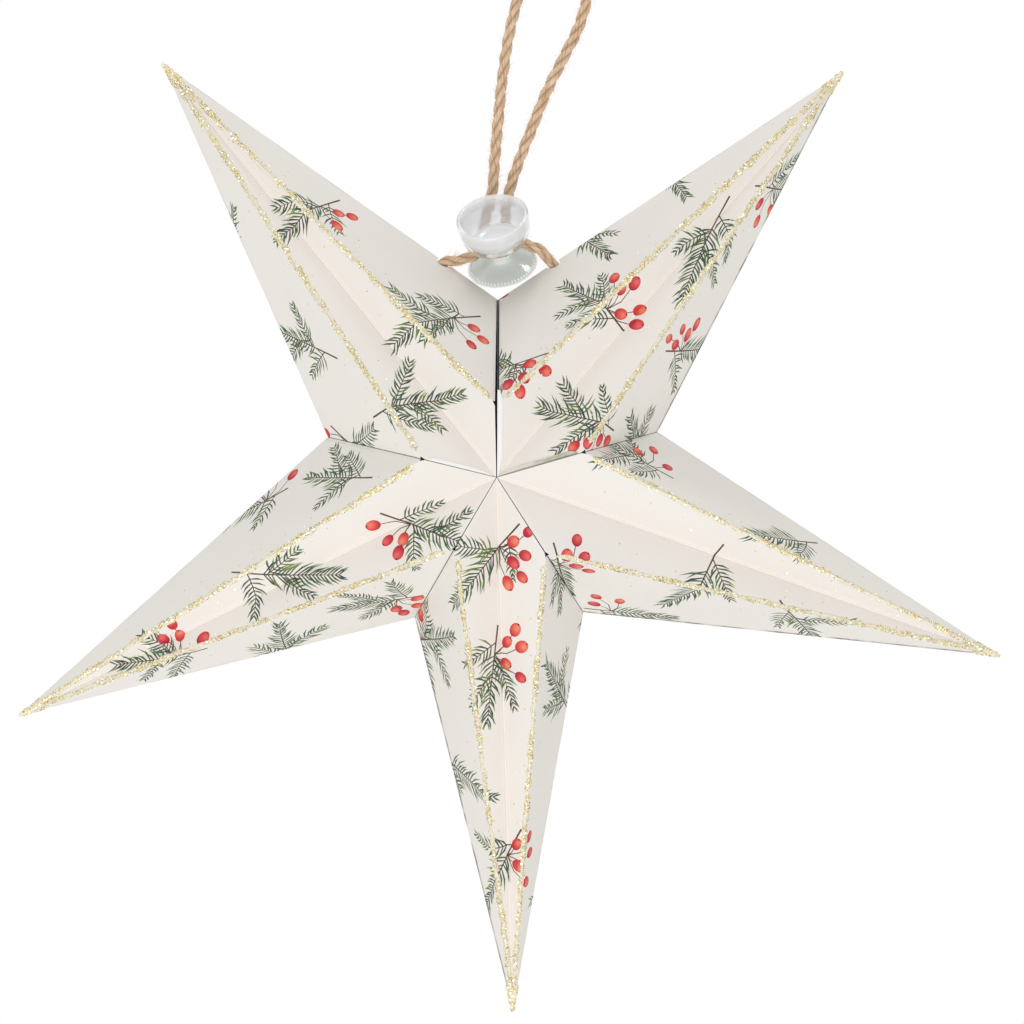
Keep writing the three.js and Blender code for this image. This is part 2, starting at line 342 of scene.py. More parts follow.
def smooth_route(points, step):
    """Even steps along a centripetal Catmull-Rom curve through the points."""
    pts = [Vector(p) for p in points]
    pts = [pts[0] * 2 - pts[1]] + pts + [pts[-1] * 2 - pts[-2]]
    fine = []
    for i in range(1, len(pts) - 2):
        a, b, c, d = pts[i - 1:i + 3]
        t0, t1 = 0.0, (b - a).length ** 0.5
        t2 = t1 + (c - b).length ** 0.5
        t3 = t2 + (d - c).length ** 0.5
        for k in range(SPAN_STEPS):
            t = t1 + (t2 - t1) * k / SPAN_STEPS
            bc = between(b, c, t1, t2, t)
            abc = between(between(a, b, t0, t1, t), bc, t0, t2, t)
            bcd = between(bc, between(c, d, t2, t3, t), t1, t3, t)
            fine.append(between(abc, bcd, t1, t2, t))
    fine.append(pts[-2])
    total = [0.0]
    for a, b in zip(fine, fine[1:]):
        total.append(total[-1] + (b - a).length)
    count = round(total[-1] / step)
    out, j = [], 0
    for k in range(count + 1):
        want = total[-1] * k / count
        while j < len(fine) - 2 and total[j + 1] < want:
            j += 1
        f = (want - total[j]) / max(total[j + 1] - total[j], 1e-9)
        out.append(fine[j].lerp(fine[j + 1], clamp(f)))
    return out, total[-1]


path, twine_length = smooth_route(ROUTE, ROUTE_STEP)
print("twine length", round(twine_length, 1), "mm in", len(path), "steps")

# %% Three plies twisted together
TWINE_RADIUS = 1.75
TWINE_SIDES = 30
TWIST = 16.0                 # mm along the twine for one turn
STREAK_TWIST = 11.0          # and for one turn of the fibres on its plies
PLY_RADIUS, PLY_OFFSET = 0.93, 0.82
UNEVEN = 0.1                 # the share of its radius by which the twine swells and thins


def ply_section(angle):
    """Radius of the outline of three plies at an angle."""
    a = (angle + math.pi / 3) % (2 * math.pi / 3) - math.pi / 3
    return PLY_OFFSET * math.cos(a) + math.sqrt(PLY_RADIUS ** 2 - (PLY_OFFSET * math.sin(a)) ** 2)


def ring_rows(count, around):
    """The numbers of the points in each ring of a tube."""
    return [list(range(i * around, (i + 1) * around)) for i in range(count)]


def ring_faces(rows):
    """Faces between rings of points. A ring at a pole names its one point over again."""
    faces = []
    for a, b in zip(rows, rows[1:]):
        for k in range(len(a)):
            j = (k + 1) % len(a)
            face = [a[k], a[j], b[j], b[k]]
            faces.append([v for i, v in enumerate(face) if v not in face[:i]])
    return faces


def twisted_tube(name, centres, radius, twist, around, closed, seed=0):
    """A closed tube of three plies along centres, with shade painted into its grooves, and its
    strand coordinates.
    """
    scale = radius / (PLY_RADIUS + PLY_OFFSET)
    count = len(centres)
    tangents = []
    for i in range(count):
        a = centres[(i - 1) % count if closed else max(i - 1, 0)]
        b = centres[(i + 1) % count if closed else min(i + 1, count - 1)]
        tangents.append((b - a).normalized())
    side = tangents[0].orthogonal().normalized()
    verts, shades, strands, run = [], [], [], 0.0
    for i, (c, t) in enumerate(zip(centres, tangents)):
        side = (side - side.dot(t) * t).normalized()
        up = t.cross(side)
        if i:
            run += (c - centres[i - 1]).length
        spin = 2 * math.pi * run / twist
        end = 1.0 if closed else min(1.0, 0.35 + min(i, count - 1 - i) * 0.22)    # round ends
        for k in range(around):
            angle = 2 * math.pi * k / around
            r = ply_section(angle)
            # painted shade: darker and browner towards the groove between two plies, down to 0.4
            dark = 0.4 + 0.6 * clamp((r - PLY_RADIUS) / PLY_OFFSET) ** 0.5
            shades.append((dark, dark * (0.93 + 0.07 * dark), dark * (0.86 + 0.14 * dark), 1.0))
            x, y = math.cos(angle + spin), math.sin(angle + spin)
            swell = 1 + UNEVEN * noise.noise(Vector((run * 0.9, 3 * x, 3 * y + seed)))
            verts.append(c + (side * x + up * y) * (r * scale * swell) * end)
            lay = angle + 2 * math.pi * run / STREAK_TWIST
            strands.append((run + seed, TWINE_RADIUS * math.cos(lay), TWINE_RADIUS * math.sin(lay)))
    rows = ring_rows(count, around)
    faces = ring_faces(rows + rows[:1]) if closed else [*ring_faces(rows), rows[0][::-1], rows[-1]]
    tube = new_object(name, verts, faces, "hanger", [jute])
    colour = tube.data.color_attributes.new("shade", "FLOAT_COLOR", "POINT")
    colour.data.foreach_set("color", np.array(shades, np.float32).ravel())
    point_values(tube.data, "strand", "FLOAT_VECTOR", strands)
    tube.data.shade_smooth()
    return tube


def signed_volume(obj):
    mesh, total = obj.data, 0.0
    mesh.calc_loop_triangles()
    for t in mesh.loop_triangles:
        a, b, c = (mesh.vertices[i].co for i in t.vertices)
        total += a.dot(b.cross(c))
    return total / 6


twine = twisted_tube("jute_twine", path, TWINE_RADIUS, TWIST, TWINE_SIDES, False)
print("twine volume", round(signed_volume(twine) * 1e9), "mm3")

# %% [markdown]
# Each end of the twine has an overhand knot inside the star, which stops it slipping out.
# A knot is a trefoil curve, and the same ply section runs along it.

# %% Knots at the two ends
KNOT_SIZE, KNOT_STEPS = 0.62, 90
KNOT_PLY_RADIUS, KNOT_TWIST, KNOT_SIDES = 1.15, 9.0, 18      # the twine is pulled thin in a knot


def twine_knot(name, end, before, seed):
    """A small tight knot at an end of the route, round the line from the point before it."""
    centre = Vector(end)
    turn = Vector((0, 0, 1)).rotation_difference((centre - Vector(before)).normalized())
    curve = []
    for k in range(KNOT_STEPS):
        t = 2 * math.pi * k / KNOT_STEPS
        v = Vector((math.sin(t) + 2 * math.sin(2 * t), math.cos(t) - 2 * math.cos(2 * t),
                    -1.25 * math.sin(3 * t)))
        curve.append(centre + turn @ (v * KNOT_SIZE))
    return twisted_tube(name, curve, KNOT_PLY_RADIUS, KNOT_TWIST, KNOT_SIDES, True, seed)


knots = [twine_knot("left_twine_knot", ROUTE[0], ROUTE[1], 50),
         twine_knot("right_twine_knot", ROUTE[-1], ROUTE[-2], 90)]
print("knot volumes", [round(signed_volume(k) * 1e9) for k in knots])

# %% [markdown]
# Loose fibres stand off the jute all along. Geometry Nodes scatters them: a short tapered hair
# is laid along the strand at each random point and tipped outwards a little.

# %% Geometry Nodes: what the scattering trees share
SCATTER_INPUTS = (("Seed", "Int", 1), ("Shape", "Object", None), ("Material", "Material", None))


def new_tree(name, inputs):
    """A tree that takes a geometry and the inputs and puts out a geometry."""
    tree = bpy.data.node_groups.new(name, "GeometryNodeTree")
    tree.is_modifier = True
    add_socket(tree, "Geometry", "Geometry")
    for label, kind, value in inputs:
        add_socket(tree, label, kind, value)
    add_socket(tree, "Geometry", "Geometry", way="OUTPUT")
    return tree, tree.nodes.new("NodeGroupInput")


def finish_tree(tree, start, geometry):
    """The end of every tree: instances made real, with their material."""
    real = add_node(tree, "GeometryNodeRealizeInstances", {"Geometry": geometry})
    paint = add_node(tree, "GeometryNodeSetMaterial", {"Geometry": real.outputs[0],
                                                       "Material": start.outputs["Material"]})
    add_node(tree, "NodeGroupOutput", {"Geometry": paint.outputs[0]})
    return tree


def random_value(tree, kind, low, high, seed):
    first = 0 if kind == "FLOAT_VECTOR" else 2
    node = add_node(tree, "FunctionNodeRandomValue", {first: low, first + 1: high, "Seed": seed},
                    data_type=kind)
    return node.outputs[0 if kind == "FLOAT_VECTOR" else 1]


def scatter_tree(name, sizes):
    """The start of a scattering tree: points spread at random over the surface."""
    tree, start = new_tree(name, [(label, "Float", value) for label, value in sizes]
                           + list(SCATTER_INPUTS))
    spread = add_node(tree, "GeometryNodeDistributePointsOnFaces", {
        "Mesh": start.outputs["Geometry"], "Seed": start.outputs["Seed"]})
    return tree, start, spread


def turned_by(tree, rotation, euler):
    """A rotation followed by a turn about its own axes."""
    turn = add_node(tree, "FunctionNodeEulerToRotation", {0: euler})
    return add_node(tree, "FunctionNodeRotateRotation", {0: rotation, 1: turn.outputs[0]},
                    rotation_space="LOCAL").outputs[0]


def place_shapes(tree, start, points, rotation, scale):
    """The shape on every point, each with a tone of its own, and the end of the tree."""
    shape = add_node(tree, "GeometryNodeObjectInfo", {"Object": start.outputs["Shape"]})
    on_points = add_node(tree, "GeometryNodeInstanceOnPoints", {
        "Points": points, "Instance": shape.outputs["Geometry"], "Rotation": rotation,
        "Scale": scale})
    tone = random_value(tree, "FLOAT", 0.0, 1.0, start.outputs["Seed"])
    store = add_node(tree, "GeometryNodeStoreNamedAttribute", {
        "Geometry": on_points.outputs[0], "Name": "tone", "Value": tone}, domain="INSTANCE")
    return finish_tree(tree, start, store.outputs[0])


print("every scattering tree takes", [label for label, _, _ in SCATTER_INPUTS])

# %% Geometry Nodes: loose fibres
def fibre_tree():
    tree, start, spread = scatter_tree("Loose fibres", (("Fibres per square metre", 60000.0),
                                                        ("Fibre length", 1.0)))
    tree.links.new(start.outputs["Fibres per square metre"], spread.inputs["Density"])
    strand_way = add_node(tree, "GeometryNodeInputNamedAttribute", {"Name": "way"},
                          data_type="FLOAT_VECTOR")
    align = add_node(tree, "FunctionNodeAlignRotationToVector", {
        "Rotation": spread.outputs["Rotation"], "Vector": strand_way.outputs[0]},
        axis="X", pivot_axis="Z")
    seed = start.outputs["Seed"]
    tip_out = random_value(tree, "FLOAT_VECTOR", (-0.5, -0.75, -0.7), (0.5, 0.05, 0.7), seed)
    size = maths(tree, "MULTIPLY", random_value(tree, "FLOAT", 0.35, 1.25, seed),
                 start.outputs["Fibre length"])
    return place_shapes(tree, start, spread.outputs["Points"],
                        turned_by(tree, align.outputs[0], tip_out), size)


FIBRES = fibre_tree()
print("tree", FIBRES.name, "nodes", len(FIBRES.nodes))

# %% Run a tree and keep the result as a plain mesh
def run_tree(tree, carrier, **inputs):
    """The mesh that a tree makes from a carrier object, with the modifier gone again."""
    modifier = carrier.modifiers.new("scatter", "NODES")
    modifier.node_group = tree
    for item in tree.interface.items_tree:
        label = item.name.replace(" ", "_")
        if item.item_type == "SOCKET" and item.in_out == "INPUT" and label in inputs:
            modifier[item.identifier] = inputs[label]
    evaluated = carrier.evaluated_get(bpy.context.evaluated_depsgraph_get())
    mesh = bpy.data.meshes.new_from_object(evaluated)
    carrier.modifiers.remove(modifier)
    return mesh


def shape_object(name, verts, faces):
    """A small shape to repeat, given in mm round its own middle and kept out of the scene."""
    mesh = bpy.data.meshes.new(name)
    mesh.from_pydata([Vector(v) * MM for v in verts], [], faces)
    return bpy.data.objects.new(name, mesh)


def keep_mesh(name, mesh, body):
    obj = bpy.data.objects.new(name, mesh)
    mesh.name = name
    bpy.context.scene.collection.objects.link(obj)
    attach(obj, body)
    return obj


HAIR_LENGTH, HAIR_RADIUS, HAIR_RISE, HAIR_TAPER = 2.6, 0.045, 0.5, 0.75


def hair():
    """A curved tapered hair of three sides."""
    verts, faces, rings = [], [], 5
    for i in range(rings):
        t = i / (rings - 1)
        r = HAIR_RADIUS * (1 - HAIR_TAPER * t)
        for k in range(3):
            a = 2 * math.pi * k / 3
            verts.append((HAIR_LENGTH * t, r * math.cos(a), HAIR_RISE * t * t + r * math.sin(a)))
    for i in range(rings - 1):
        for k in range(3):
            a, b = 3 * i + k, 3 * i + (k + 1) % 3
            faces.append((a, a + 3, b + 3, b))
    faces += [(0, 1, 2), (3 * rings - 1, 3 * rings - 2, 3 * rings - 3)]
    return shape_object("hair", verts, faces)


fibre_material, tree, shader = new_material("loose fibre", Roughness=0.85, Specular_IOR_Level=0.2)
fibre_colour = colour_ramp(tree, attribute(tree, "tone", "Fac"),
                           ((0.0, (168, 122, 78)), (1.0, (240, 216, 176))))
tree.links.new(fibre_colour, shader.inputs["Base Color"])

# the direction of the twine at every point of its mesh, which the hairs are laid along
ways = []
for i in range(len(path)):
    w = (path[min(i + 1, len(path) - 1)] - path[max(i - 1, 0)]).normalized()
    ways += [w] * TWINE_SIDES
point_values(twine.data, "way", "FLOAT_VECTOR", ways)
hairs = keep_mesh("twine_fibres", run_tree(FIBRES, twine, Fibres_per_square_metre=650000.0,
                                           Fibre_length=1.0, Seed=7, Shape=hair(),
                                           Material=fibre_material), "hanger")
twine.data.attributes.remove(twine.data.attributes["way"])
print("faces of loose fibres", len(hairs.data.polygons))

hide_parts("twine_loop")

# %% [markdown]
# ## How the star is folded
# Each point is one sheet of card. All its creases run to the tip, so the sheet is a fan of eight
# panels: a side panel, two centre panels and a side panel in front, and the same behind.
# A panel is a triangle between the tip and two neighbouring corners. The corners lie on the
# seams between the points: on the ridge, at the notch, and at the middle of the star.

# %% The star's corners
TIP_RADIUS = 163
CENTRE_DEPTH = 34
RIDGE_DEPTH = 38
POINTS = [("upper_left_point", 128.9), ("left_point", 206.4), ("bottom_point", 271.7),
          ("right_point", 340.5), ("upper_right_point", 409.6)]
# seam: bearing, radius of the notch, radius of the ridge's inner end, and half of the gap in
# front at the notch, at the ridge and at the middle; behind, the seams are closed
CLOSED = (0.02, 0.02, 0.02)
SEAMS = [(89.7, 54.6, 21.5, 0.5, 0.72, 0.15), (166.4, 53.3, 22.8, 0.12, 0.12, 0.1),
         (239.5, 49.5, 24.7, 0.12, 0.16, 0.1), (302.7, 48.8, 27.3, 0.12, 0.18, 0.12),
         (376.0, 51.1, 27.0, 0.12, 0.12, 0.1), (449.7, 54.6, 21.5, 0.5, 0.72, 0.15)]


def fan_of(index):
    """The eight panels of a point in the order in which its sheet lies flat."""
    name, bearing = POINTS[index]
    right, left = SEAMS[index], SEAMS[index + 1]
    tip = polar(TIP_RADIUS, bearing)
    panels = []
    for face, sign in (("front", -1), ("back", 1)):
        ends = []
        for side, seam in (("right", right), ("left", left)):
            ends.append({"ridge": polar(seam[2], seam[0], sign * RIDGE_DEPTH),
                         "notch": polar(seam[1], seam[0]), "side": side,
                         "gaps": seam[3:] if face == "front" else CLOSED})
        hub = Vector((0, sign * CENTRE_DEPTH, 0))
        r, l = ends
        row = [("side", r, "notch", "ridge"), ("centre", r, "ridge", "hub"),
               ("centre", l, "hub", "ridge"), ("side", l, "ridge", "notch")]
        if face == "back":
            row = [(kind, end, b, a) for kind, end, a, b in reversed(row)]
        for kind, end, a, b in row:
            where = {"hub": hub, "ridge": end["ridge"], "notch": end["notch"]}
            panels.append({"name": f"{name}_{face}_{kind}", "side": end["side"], "kind": kind,
                           "face": face, "tip": tip, "names": (a, b), "ends": (where[a], where[b]),
                           "gaps": dict(zip(("notch", "ridge", "hub"), end["gaps"])),
                           "out": Vector((0, sign, 0))})
    turn = 0.0
    for p in panels:
        a, b = p["ends"][0] - p["tip"], p["ends"][1] - p["tip"]
        p["turn"], p["angle"] = turn, a.angle(b)
        turn += p["angle"]
        p["x"] = a.normalized()
        p["y"] = (b - b.dot(p["x"]) * p["x"]).normalized()
        normal = p["x"].cross(p["y"])
        p["flip"] = normal.dot(p["out"]) < 0
        p["normal"] = -normal if p["flip"] else normal
        p["lengths"] = (a.length, b.length)
    return panels, turn


fans = [fan_of(i) for i in range(5)]
print("sheet angles", [round(math.degrees(t), 1) for _, t in fans],
      "flipped", {p["flip"] for f, _ in fans for p in f})

# %% [markdown]
# ## The printed sprigs
# The card is printed with small sprigs of green needles and red berries. The design here is a
# plain one made for this star: straight fir sprigs with regular pairs of needles, and loose
# groups of round berries on stalks. Each shape is a flat outline on the unfolded sheet, so
# a sprig runs on across a crease as print does. A rank says which ink lies on top.

# %% Strokes and ovals of ink
BROWN = [(88, 66, 52), (120, 88, 62)]
GREENS = [((34, 54, 42), (92, 122, 78)), ((46, 72, 50), (122, 148, 88)),
          ((30, 48, 44), (74, 104, 84)), ((66, 92, 48), (150, 166, 96)),
          ((40, 64, 56), (98, 130, 104))]
REDS = [((247, 146, 120), (224, 66, 66), (182, 32, 54)),
        ((240, 122, 112), (214, 52, 64), (168, 28, 54)),
        ((250, 160, 126), (232, 84, 74), (196, 40, 56))]
EYE = ((92, 40, 30), (70, 30, 26))
NEEDLE_WIDTHS = (0.3, 0.62, 0.08)
NEEDLE_STEP = 1.15           # mm between the pairs of needles


def outline_stroke(points, widths):
    """The outline of a tapering stroke through points."""
    left, right = [], []
    for i, (p, w) in enumerate(zip(points, widths)):
        d = points[min(i + 1, len(points) - 1)] - points[max(i - 1, 0)]
        across = Vector((-d.y, d.x)).normalized() * w / 2
        left.append(p + across)
        right.append(p - across)
    return left + right[::-1]


def stroke(points, widths, rank, first, last):
    return {"poly": outline_stroke(points, widths), "rank": rank, "kind": "line",
            "from": points[0], "to": points[-1], "colours": (linear(*first), linear(*last))}


def oval(centre, radius, long, turn, rank, colours, light=None, reach=None, sides=14):
    """An oval of ink, shaded by the distance from its light point."""
    poly = []
    for k in range(sides):
        a = 2 * math.pi * k / sides
        v = Vector((math.cos(a) * radius * long, math.sin(a) * radius))
        v.rotate(Matrix.Rotation(turn, 2))
        poly.append(centre + v)
    return {"poly": poly, "rank": rank, "kind": "oval", "from": light or centre,
            "radius": reach or radius, "colours": tuple(linear(*c) for c in colours)}


def turned(v, degrees):
    a = math.radians(degrees)
    return Vector((v.x * math.cos(a) - v.y * math.sin(a), v.x * math.sin(a) + v.y * math.cos(a)))


print("inks:", len(BROWN), "browns", len(GREENS), "pairs of greens", len(REDS), "sets of reds")

# %% [markdown]
# A sprig is a curved twig with a pair of needles at every step, each a stroke with its own random
# length, angle and green. A berry is an oval whose colour runs from a warm light to a dark rim.

# %% Sprigs and berries
def sprig(start, heading, length, needle, rng, bare, stem):
    """A curved twig, bare at its foot, with pairs of needles."""
    curve = 4 * rng.uniform(-0.9, 0.9)

    def spot(t):
        return start + heading * (length * t) + turned(heading, 90) * (curve * t * t)
    shapes = [stroke([spot(k / 6) for k in range(7)],
                     [stem * (1 - 0.65 * k / 6) for k in range(7)], 1, *BROWN)]
    steps = int(length * (1 - bare) / NEEDLE_STEP)
    for k in range(steps):
        t = bare + (1 - bare) * k / max(steps - 1, 1)
        base = spot(t)
        along = (heading * length + turned(heading, 90) * (curve * 2 * t)).normalized()
        long = needle * (1.08 - 0.5 * t * t) * rng.uniform(0.66, 1.26)
        for side in (-1, 1):
            angle = side * (58 - 30 * t + rng.uniform(-12, 12))
            d = turned(along, angle)
            bow = turned(d, -side * 90) * (-0.07 * long)
            tip = base + d * long
            dark, light = rng.choice(GREENS)
            shapes.append(stroke([base, base + d * (0.5 * long) + bow, tip], NEEDLE_WIDTHS, 2,
                                 dark, light))
    return shapes


def berry(centre, radius, turn, rng):
    """An oval berry with a warm light, inner rings that carry the shading, and a dark eye."""
    way = Vector((math.cos(turn), math.sin(turn)))
    light = centre + way * (0.45 * radius) + turned(way, 90) * (0.18 * radius)
    colours, reach = rng.choice(REDS), 1.75 * radius
    rings = [oval(centre, radius, 1.28, turn, 4, colours, light, reach, 16)]
    for share in (0.5, 0.24):
        rings.append(oval(light, share * radius, 1.2, turn, 4, colours, light, reach, 10))
    eye = centre + way * (1.12 * radius)
    return rings + [oval(eye, 0.17 * radius, 1.0, 0.0, 6, EYE, sides=6)]


print("shapes in a berry", len(berry(Vector((0, 0)), 1.8, 0.0, random.Random(1))))

# %% [markdown]
# Sprigs and berries make up a bunch, and bunches are spread at random over each sheet, at
# least one gap apart. Every sheet has a seed of its own, so the print is the same on each run.

# %% Bunches spread over the sheets
BERRY_GAP = 4.3              # least distance between the berries of a bunch
BUNCH_GAP = 33               # and between the middles of the bunches on a sheet
SHEET_REACH = 142            # the bunches lie within this distance of the tip


def bunch(centre, angle, rng):
    """One printed bunch: a main sprig, two or three side sprigs and a group of berries."""
    heading = turned(Vector((1, 0)), angle)
    length = rng.uniform(27, 37)
    start = centre - heading * (0.45 * length)
    shapes = sprig(start, heading, length, rng.uniform(5.6, 7.4), rng, 0.32, 0.6)
    side = rng.choice((-1, 1))
    for t in (0.18, 0.34, 0.5)[:rng.choice((1, 2, 3, 3))]:
        shapes += sprig(start + heading * (length * t), turned(heading, side * rng.uniform(38, 60)),
                        rng.uniform(11, 17), rng.uniform(3.8, 5.2), rng, 0.14, 0.4)
        side = -side
    count = rng.choice((0, 3, 4, 5, 6))
    joint = start + heading * (length * 0.3)
    placed = []
    for _ in range(60):
        if len(placed) == count:
            break
        d = turned(heading, side * rng.uniform(55, 165))
        spot = joint + d * rng.uniform(3.5, 10.5)
        if all((spot - q).length > BERRY_GAP for q in placed):
            placed.append(spot)
    for spot in placed:
        bend = (joint + spot) / 2 + turned(spot - joint, 90) * 0.12
        shapes.append(stroke([joint, bend, spot], [0.36, 0.3, 0.28], 3, *BROWN))
        hang = math.atan2(spot.y - bend.y, spot.x - bend.x)
        shapes += berry(spot + (spot - bend).normalized() * 1.6, rng.uniform(1.6, 1.95), hang, rng)
    return shapes


def lay_out(index, turn):
    """The ink of bunches spread over the flat sheet of one point, and their number."""
    rng = random.Random(40 + index)
    spots = []
    for _ in range(4000):
        r, a = math.sqrt(rng.uniform(0.075, 1)) * SHEET_REACH, rng.uniform(0.02, turn - 0.02)
        spot = Vector((r * math.cos(a), r * math.sin(a)))
        if all((spot - s).length > BUNCH_GAP for s, _ in spots):
            spots.append((spot, rng.uniform(0, 360)))
    return [shape for spot, angle in spots for shape in bunch(spot, angle, rng)], len(spots)


prints = []
for i, (_, turn) in enumerate(fans):
    shapes, count = lay_out(i, turn)
    prints.append(shapes)
    print(POINTS[i][0], "bunches", count, "shapes", len(shapes))

# %% [markdown]
# ## The card panels
# Every panel is a plate of card 0.4 mm thick. Its faces slope in towards each crease, as pressed
# card does, which also leaves room for the fold. Its outline follows the creases and seams,
# and the two upper points have a punched hole for the twine on their side edges.

# %% Shape of one panel
HALF_CARD = 0.2
EDGE_LAND = 0.02
BEVEL = {"valley": 8.2, "ridge": 5.6, "seam": 9.0, "edge": 40.0}     # half angles, in degrees
PANEL_START = 5.0
RELIEF = (1.0, 0.8)          # small cut at the inner end of each ridge in front
HOLE_RADIUS, HOLE_STEPS = 2.15, 14
HOLE_FROM_NOTCH = 20
HOLE_SLANT = 25
EDGE_OF = {"hub": "valley", "ridge": "ridge", "notch": "edge"}


def panel_outline(p):
    """Corners of the panel on its own plane, with the crease kind of each edge that follows."""
    def spot(which, along):
        a = 0.0 if which == 0 else p["angle"]
        return Vector((math.cos(a), math.sin(a))) * along
    (na, nb), (la, lb) = p["names"], p["lengths"]
    across = spot(1, lb) - spot(0, la)
    ends = []
    for which, name, length in ((0, na, la), (1, nb, lb)):
        other = spot(1, 1.0) if which == 0 else spot(0, 1.0)
        slope = abs(math.sin(spot(which, 1.0).angle(across))) or 1
        ends.append((which, name, length - p["gaps"][name] / slope, other))
    outline = [(spot(0, PANEL_START), EDGE_OF[na])]
    for which, name, length, _ in ends:
        corner = spot(which, length)
        if name == "ridge" and p["face"] == "front":
            along = across.normalized() * (RELIEF[1] if which == 0 else -RELIEF[1])
            cut = [(spot(which, length - RELIEF[0]), None), (corner + along, "seam")]
            if which == 1:
                cut = [(corner + along, None), (spot(which, length - RELIEF[0]), EDGE_OF[nb])]
            outline += cut
        else:
            outline.append((corner, "seam" if which == 0 else EDGE_OF[nb]))
    outline.append((spot(1, PANEL_START), None))
    return outline


def inset_of(kind):
    return (HALF_CARD - EDGE_LAND) / math.tan(math.radians(BEVEL[kind])) if kind else 0.0


def edge_lines(outline):
    """Each bevelled edge as a point, an inward normal and the width of its bevel."""
    lines = []
    for i, (a, kind) in enumerate(outline):
        b = outline[(i + 1) % len(outline)][0]
        if kind:
            d = (b - a).normalized()
            lines.append((a, Vector((-d.y, d.x)), inset_of(kind)))
    return lines


def height_at(point, lines):
    h = HALF_CARD
    for a, normal, width in lines:
        h = min(h, EDGE_LAND + (HALF_CARD - EDGE_LAND) * max((point - a).dot(normal), 0) / width)
    return h


def clip(poly, a, normal):
    """The part of a convex outline on the inner side of a line."""
    out = []
    for i, p in enumerate(poly):
        q = poly[(i + 1) % len(poly)]
        dp, dq = (p - a).dot(normal), (q - a).dot(normal)
        if dp >= 0:
            out.append(p)
        if (dp < 0) != (dq < 0):
            out.append(p + (q - p) * (dp / (dp - dq)))
    return out


print("bevels", {k: round(inset_of(k), 2) for k in BEVEL})

# %% Cut-outs where the twine goes through
def twine_hole(p, point_index):
    """The notch that the punched hole leaves in a side panel, or None."""
    if p["kind"] != "side" or (point_index, p["side"]) not in ((0, "right"), (4, "left")):
        return None
    notch = p["ends"][p["names"].index("notch")]
    along = (p["tip"] - notch).normalized()
    at = notch + along * HOLE_FROM_NOTCH
    square = Vector((-along.z, 0, along.x))
    if square.dot(-at) < 0:
        square = -square
    slant = math.radians(HOLE_SLANT)
    inward = square * math.cos(slant) + along * math.sin(slant)
    side_way = Vector((-inward.z, 0, inward.x))
    normal = p["normal"]
    across = along.cross(normal)
    if across.dot(p["out"]) < 0:
        across = -across
    poly = []
    for k in range(HOLE_STEPS + 1):
        a = math.pi * k / HOLE_STEPS
        y, s = HOLE_RADIUS * math.sin(a), HOLE_RADIUS * math.cos(a)
        w = y / abs(across.y)
        u = (s - w * across.dot(side_way)) / along.dot(side_way)
        q = at + along * u + across * w - p["tip"]
        poly.append(Vector((q.dot(p["x"]), q.dot(p["y"]))))
    middle = Vector(((at - p["tip"]).dot(p["x"]), (at - p["tip"]).dot(p["y"])))
    outside = (poly[0] - poly[-1]).normalized()
    push = Vector((-outside.y, outside.x))
    if push.dot(poly[HOLE_STEPS // 2] - middle) > 0:
        push = -push
    return poly + [poly[-1] + push, poly[0] + push]


print("panels with half a hole", [f"{p['name']} {p['side']}" for i, (panels, _) in enumerate(fans)
                                  for p in panels if twine_hole(p, i)])

# %% [markdown]
# The ink needs no image: the outer face of the card is cut along the outlines of the ink, and
# each bit takes the colour of the top ink, shaded along the stroke or across the oval. A fine
# pale double line marks the scored crease down the middle of each point. Towards it the paper
# is painted a little darker and warmer, as painted shade in the valley of the crease.

# %% Colours of ink and paper
def ink_colour(shape, point):
    stops = shape["colours"]
    if shape["kind"] == "line":
        d = shape["to"] - shape["from"]
        t = (point - shape["from"]).dot(d) / max(d.length_squared, 1e-9)
    else:
        t = (point - shape["from"]).length / shape["radius"]
    t = clamp(t, high=0.9999) * (len(stops) - 1)
    return blend(stops[int(t)], stops[int(t) + 1], t - int(t))


SCORE_LINES = ((0.0, 0.14), (0.95, 1.12))            # pale lines beside the centre crease
SCORE = linear(252, 247, 240)
# painted shade: the darker, warmer paper colour of the valley along the centre crease
CREASE_SHADE = linear(243, 235, 227)
CREASE_SHADE_REACH = 16              # mm from the centre crease


def paper_with_crease_shade(point, valley):
    """The paper, painted a little darker and warmer towards the centre crease as shade in its
    valley.
    """
    if valley is None:
        return PAPER
    return blend(PAPER, CREASE_SHADE, max(0.0, 1 - (point - valley[0]).dot(valley[1]) / CREASE_SHADE_REACH) ** 1.5)


def band(valley, low, high, length):
    a, normal, along = valley
    return [a + normal * low, a + along * length + normal * low,
            a + along * length + normal * high, a + normal * high]


print("paper", [round(c, 3) for c in PAPER[:3]], "and warmer", [round(c, 3) for c in CREASE_SHADE[:3]])

# %% [markdown]
# The side edges of the card darken towards the fold, in patches.
# Two rows of short cells along the edge are cut into the face too, and noise tones their corners.

# %% Darker side edges
# the colour towards which the side edges darken, in patches
DARK_EDGE = linear(96, 86, 70)
DARK_EDGE_CELL = 1.6              # length of a darkened cell along the side edge
DARK_EDGE_ROWS = (-0.4, 0.8, 1.5)         # the cells' lines, in mm in from the edge
DARK_EDGE_SIDES = {(2, "right"), (3, "right"), (4, "right")}      # the side edges that are darkened most


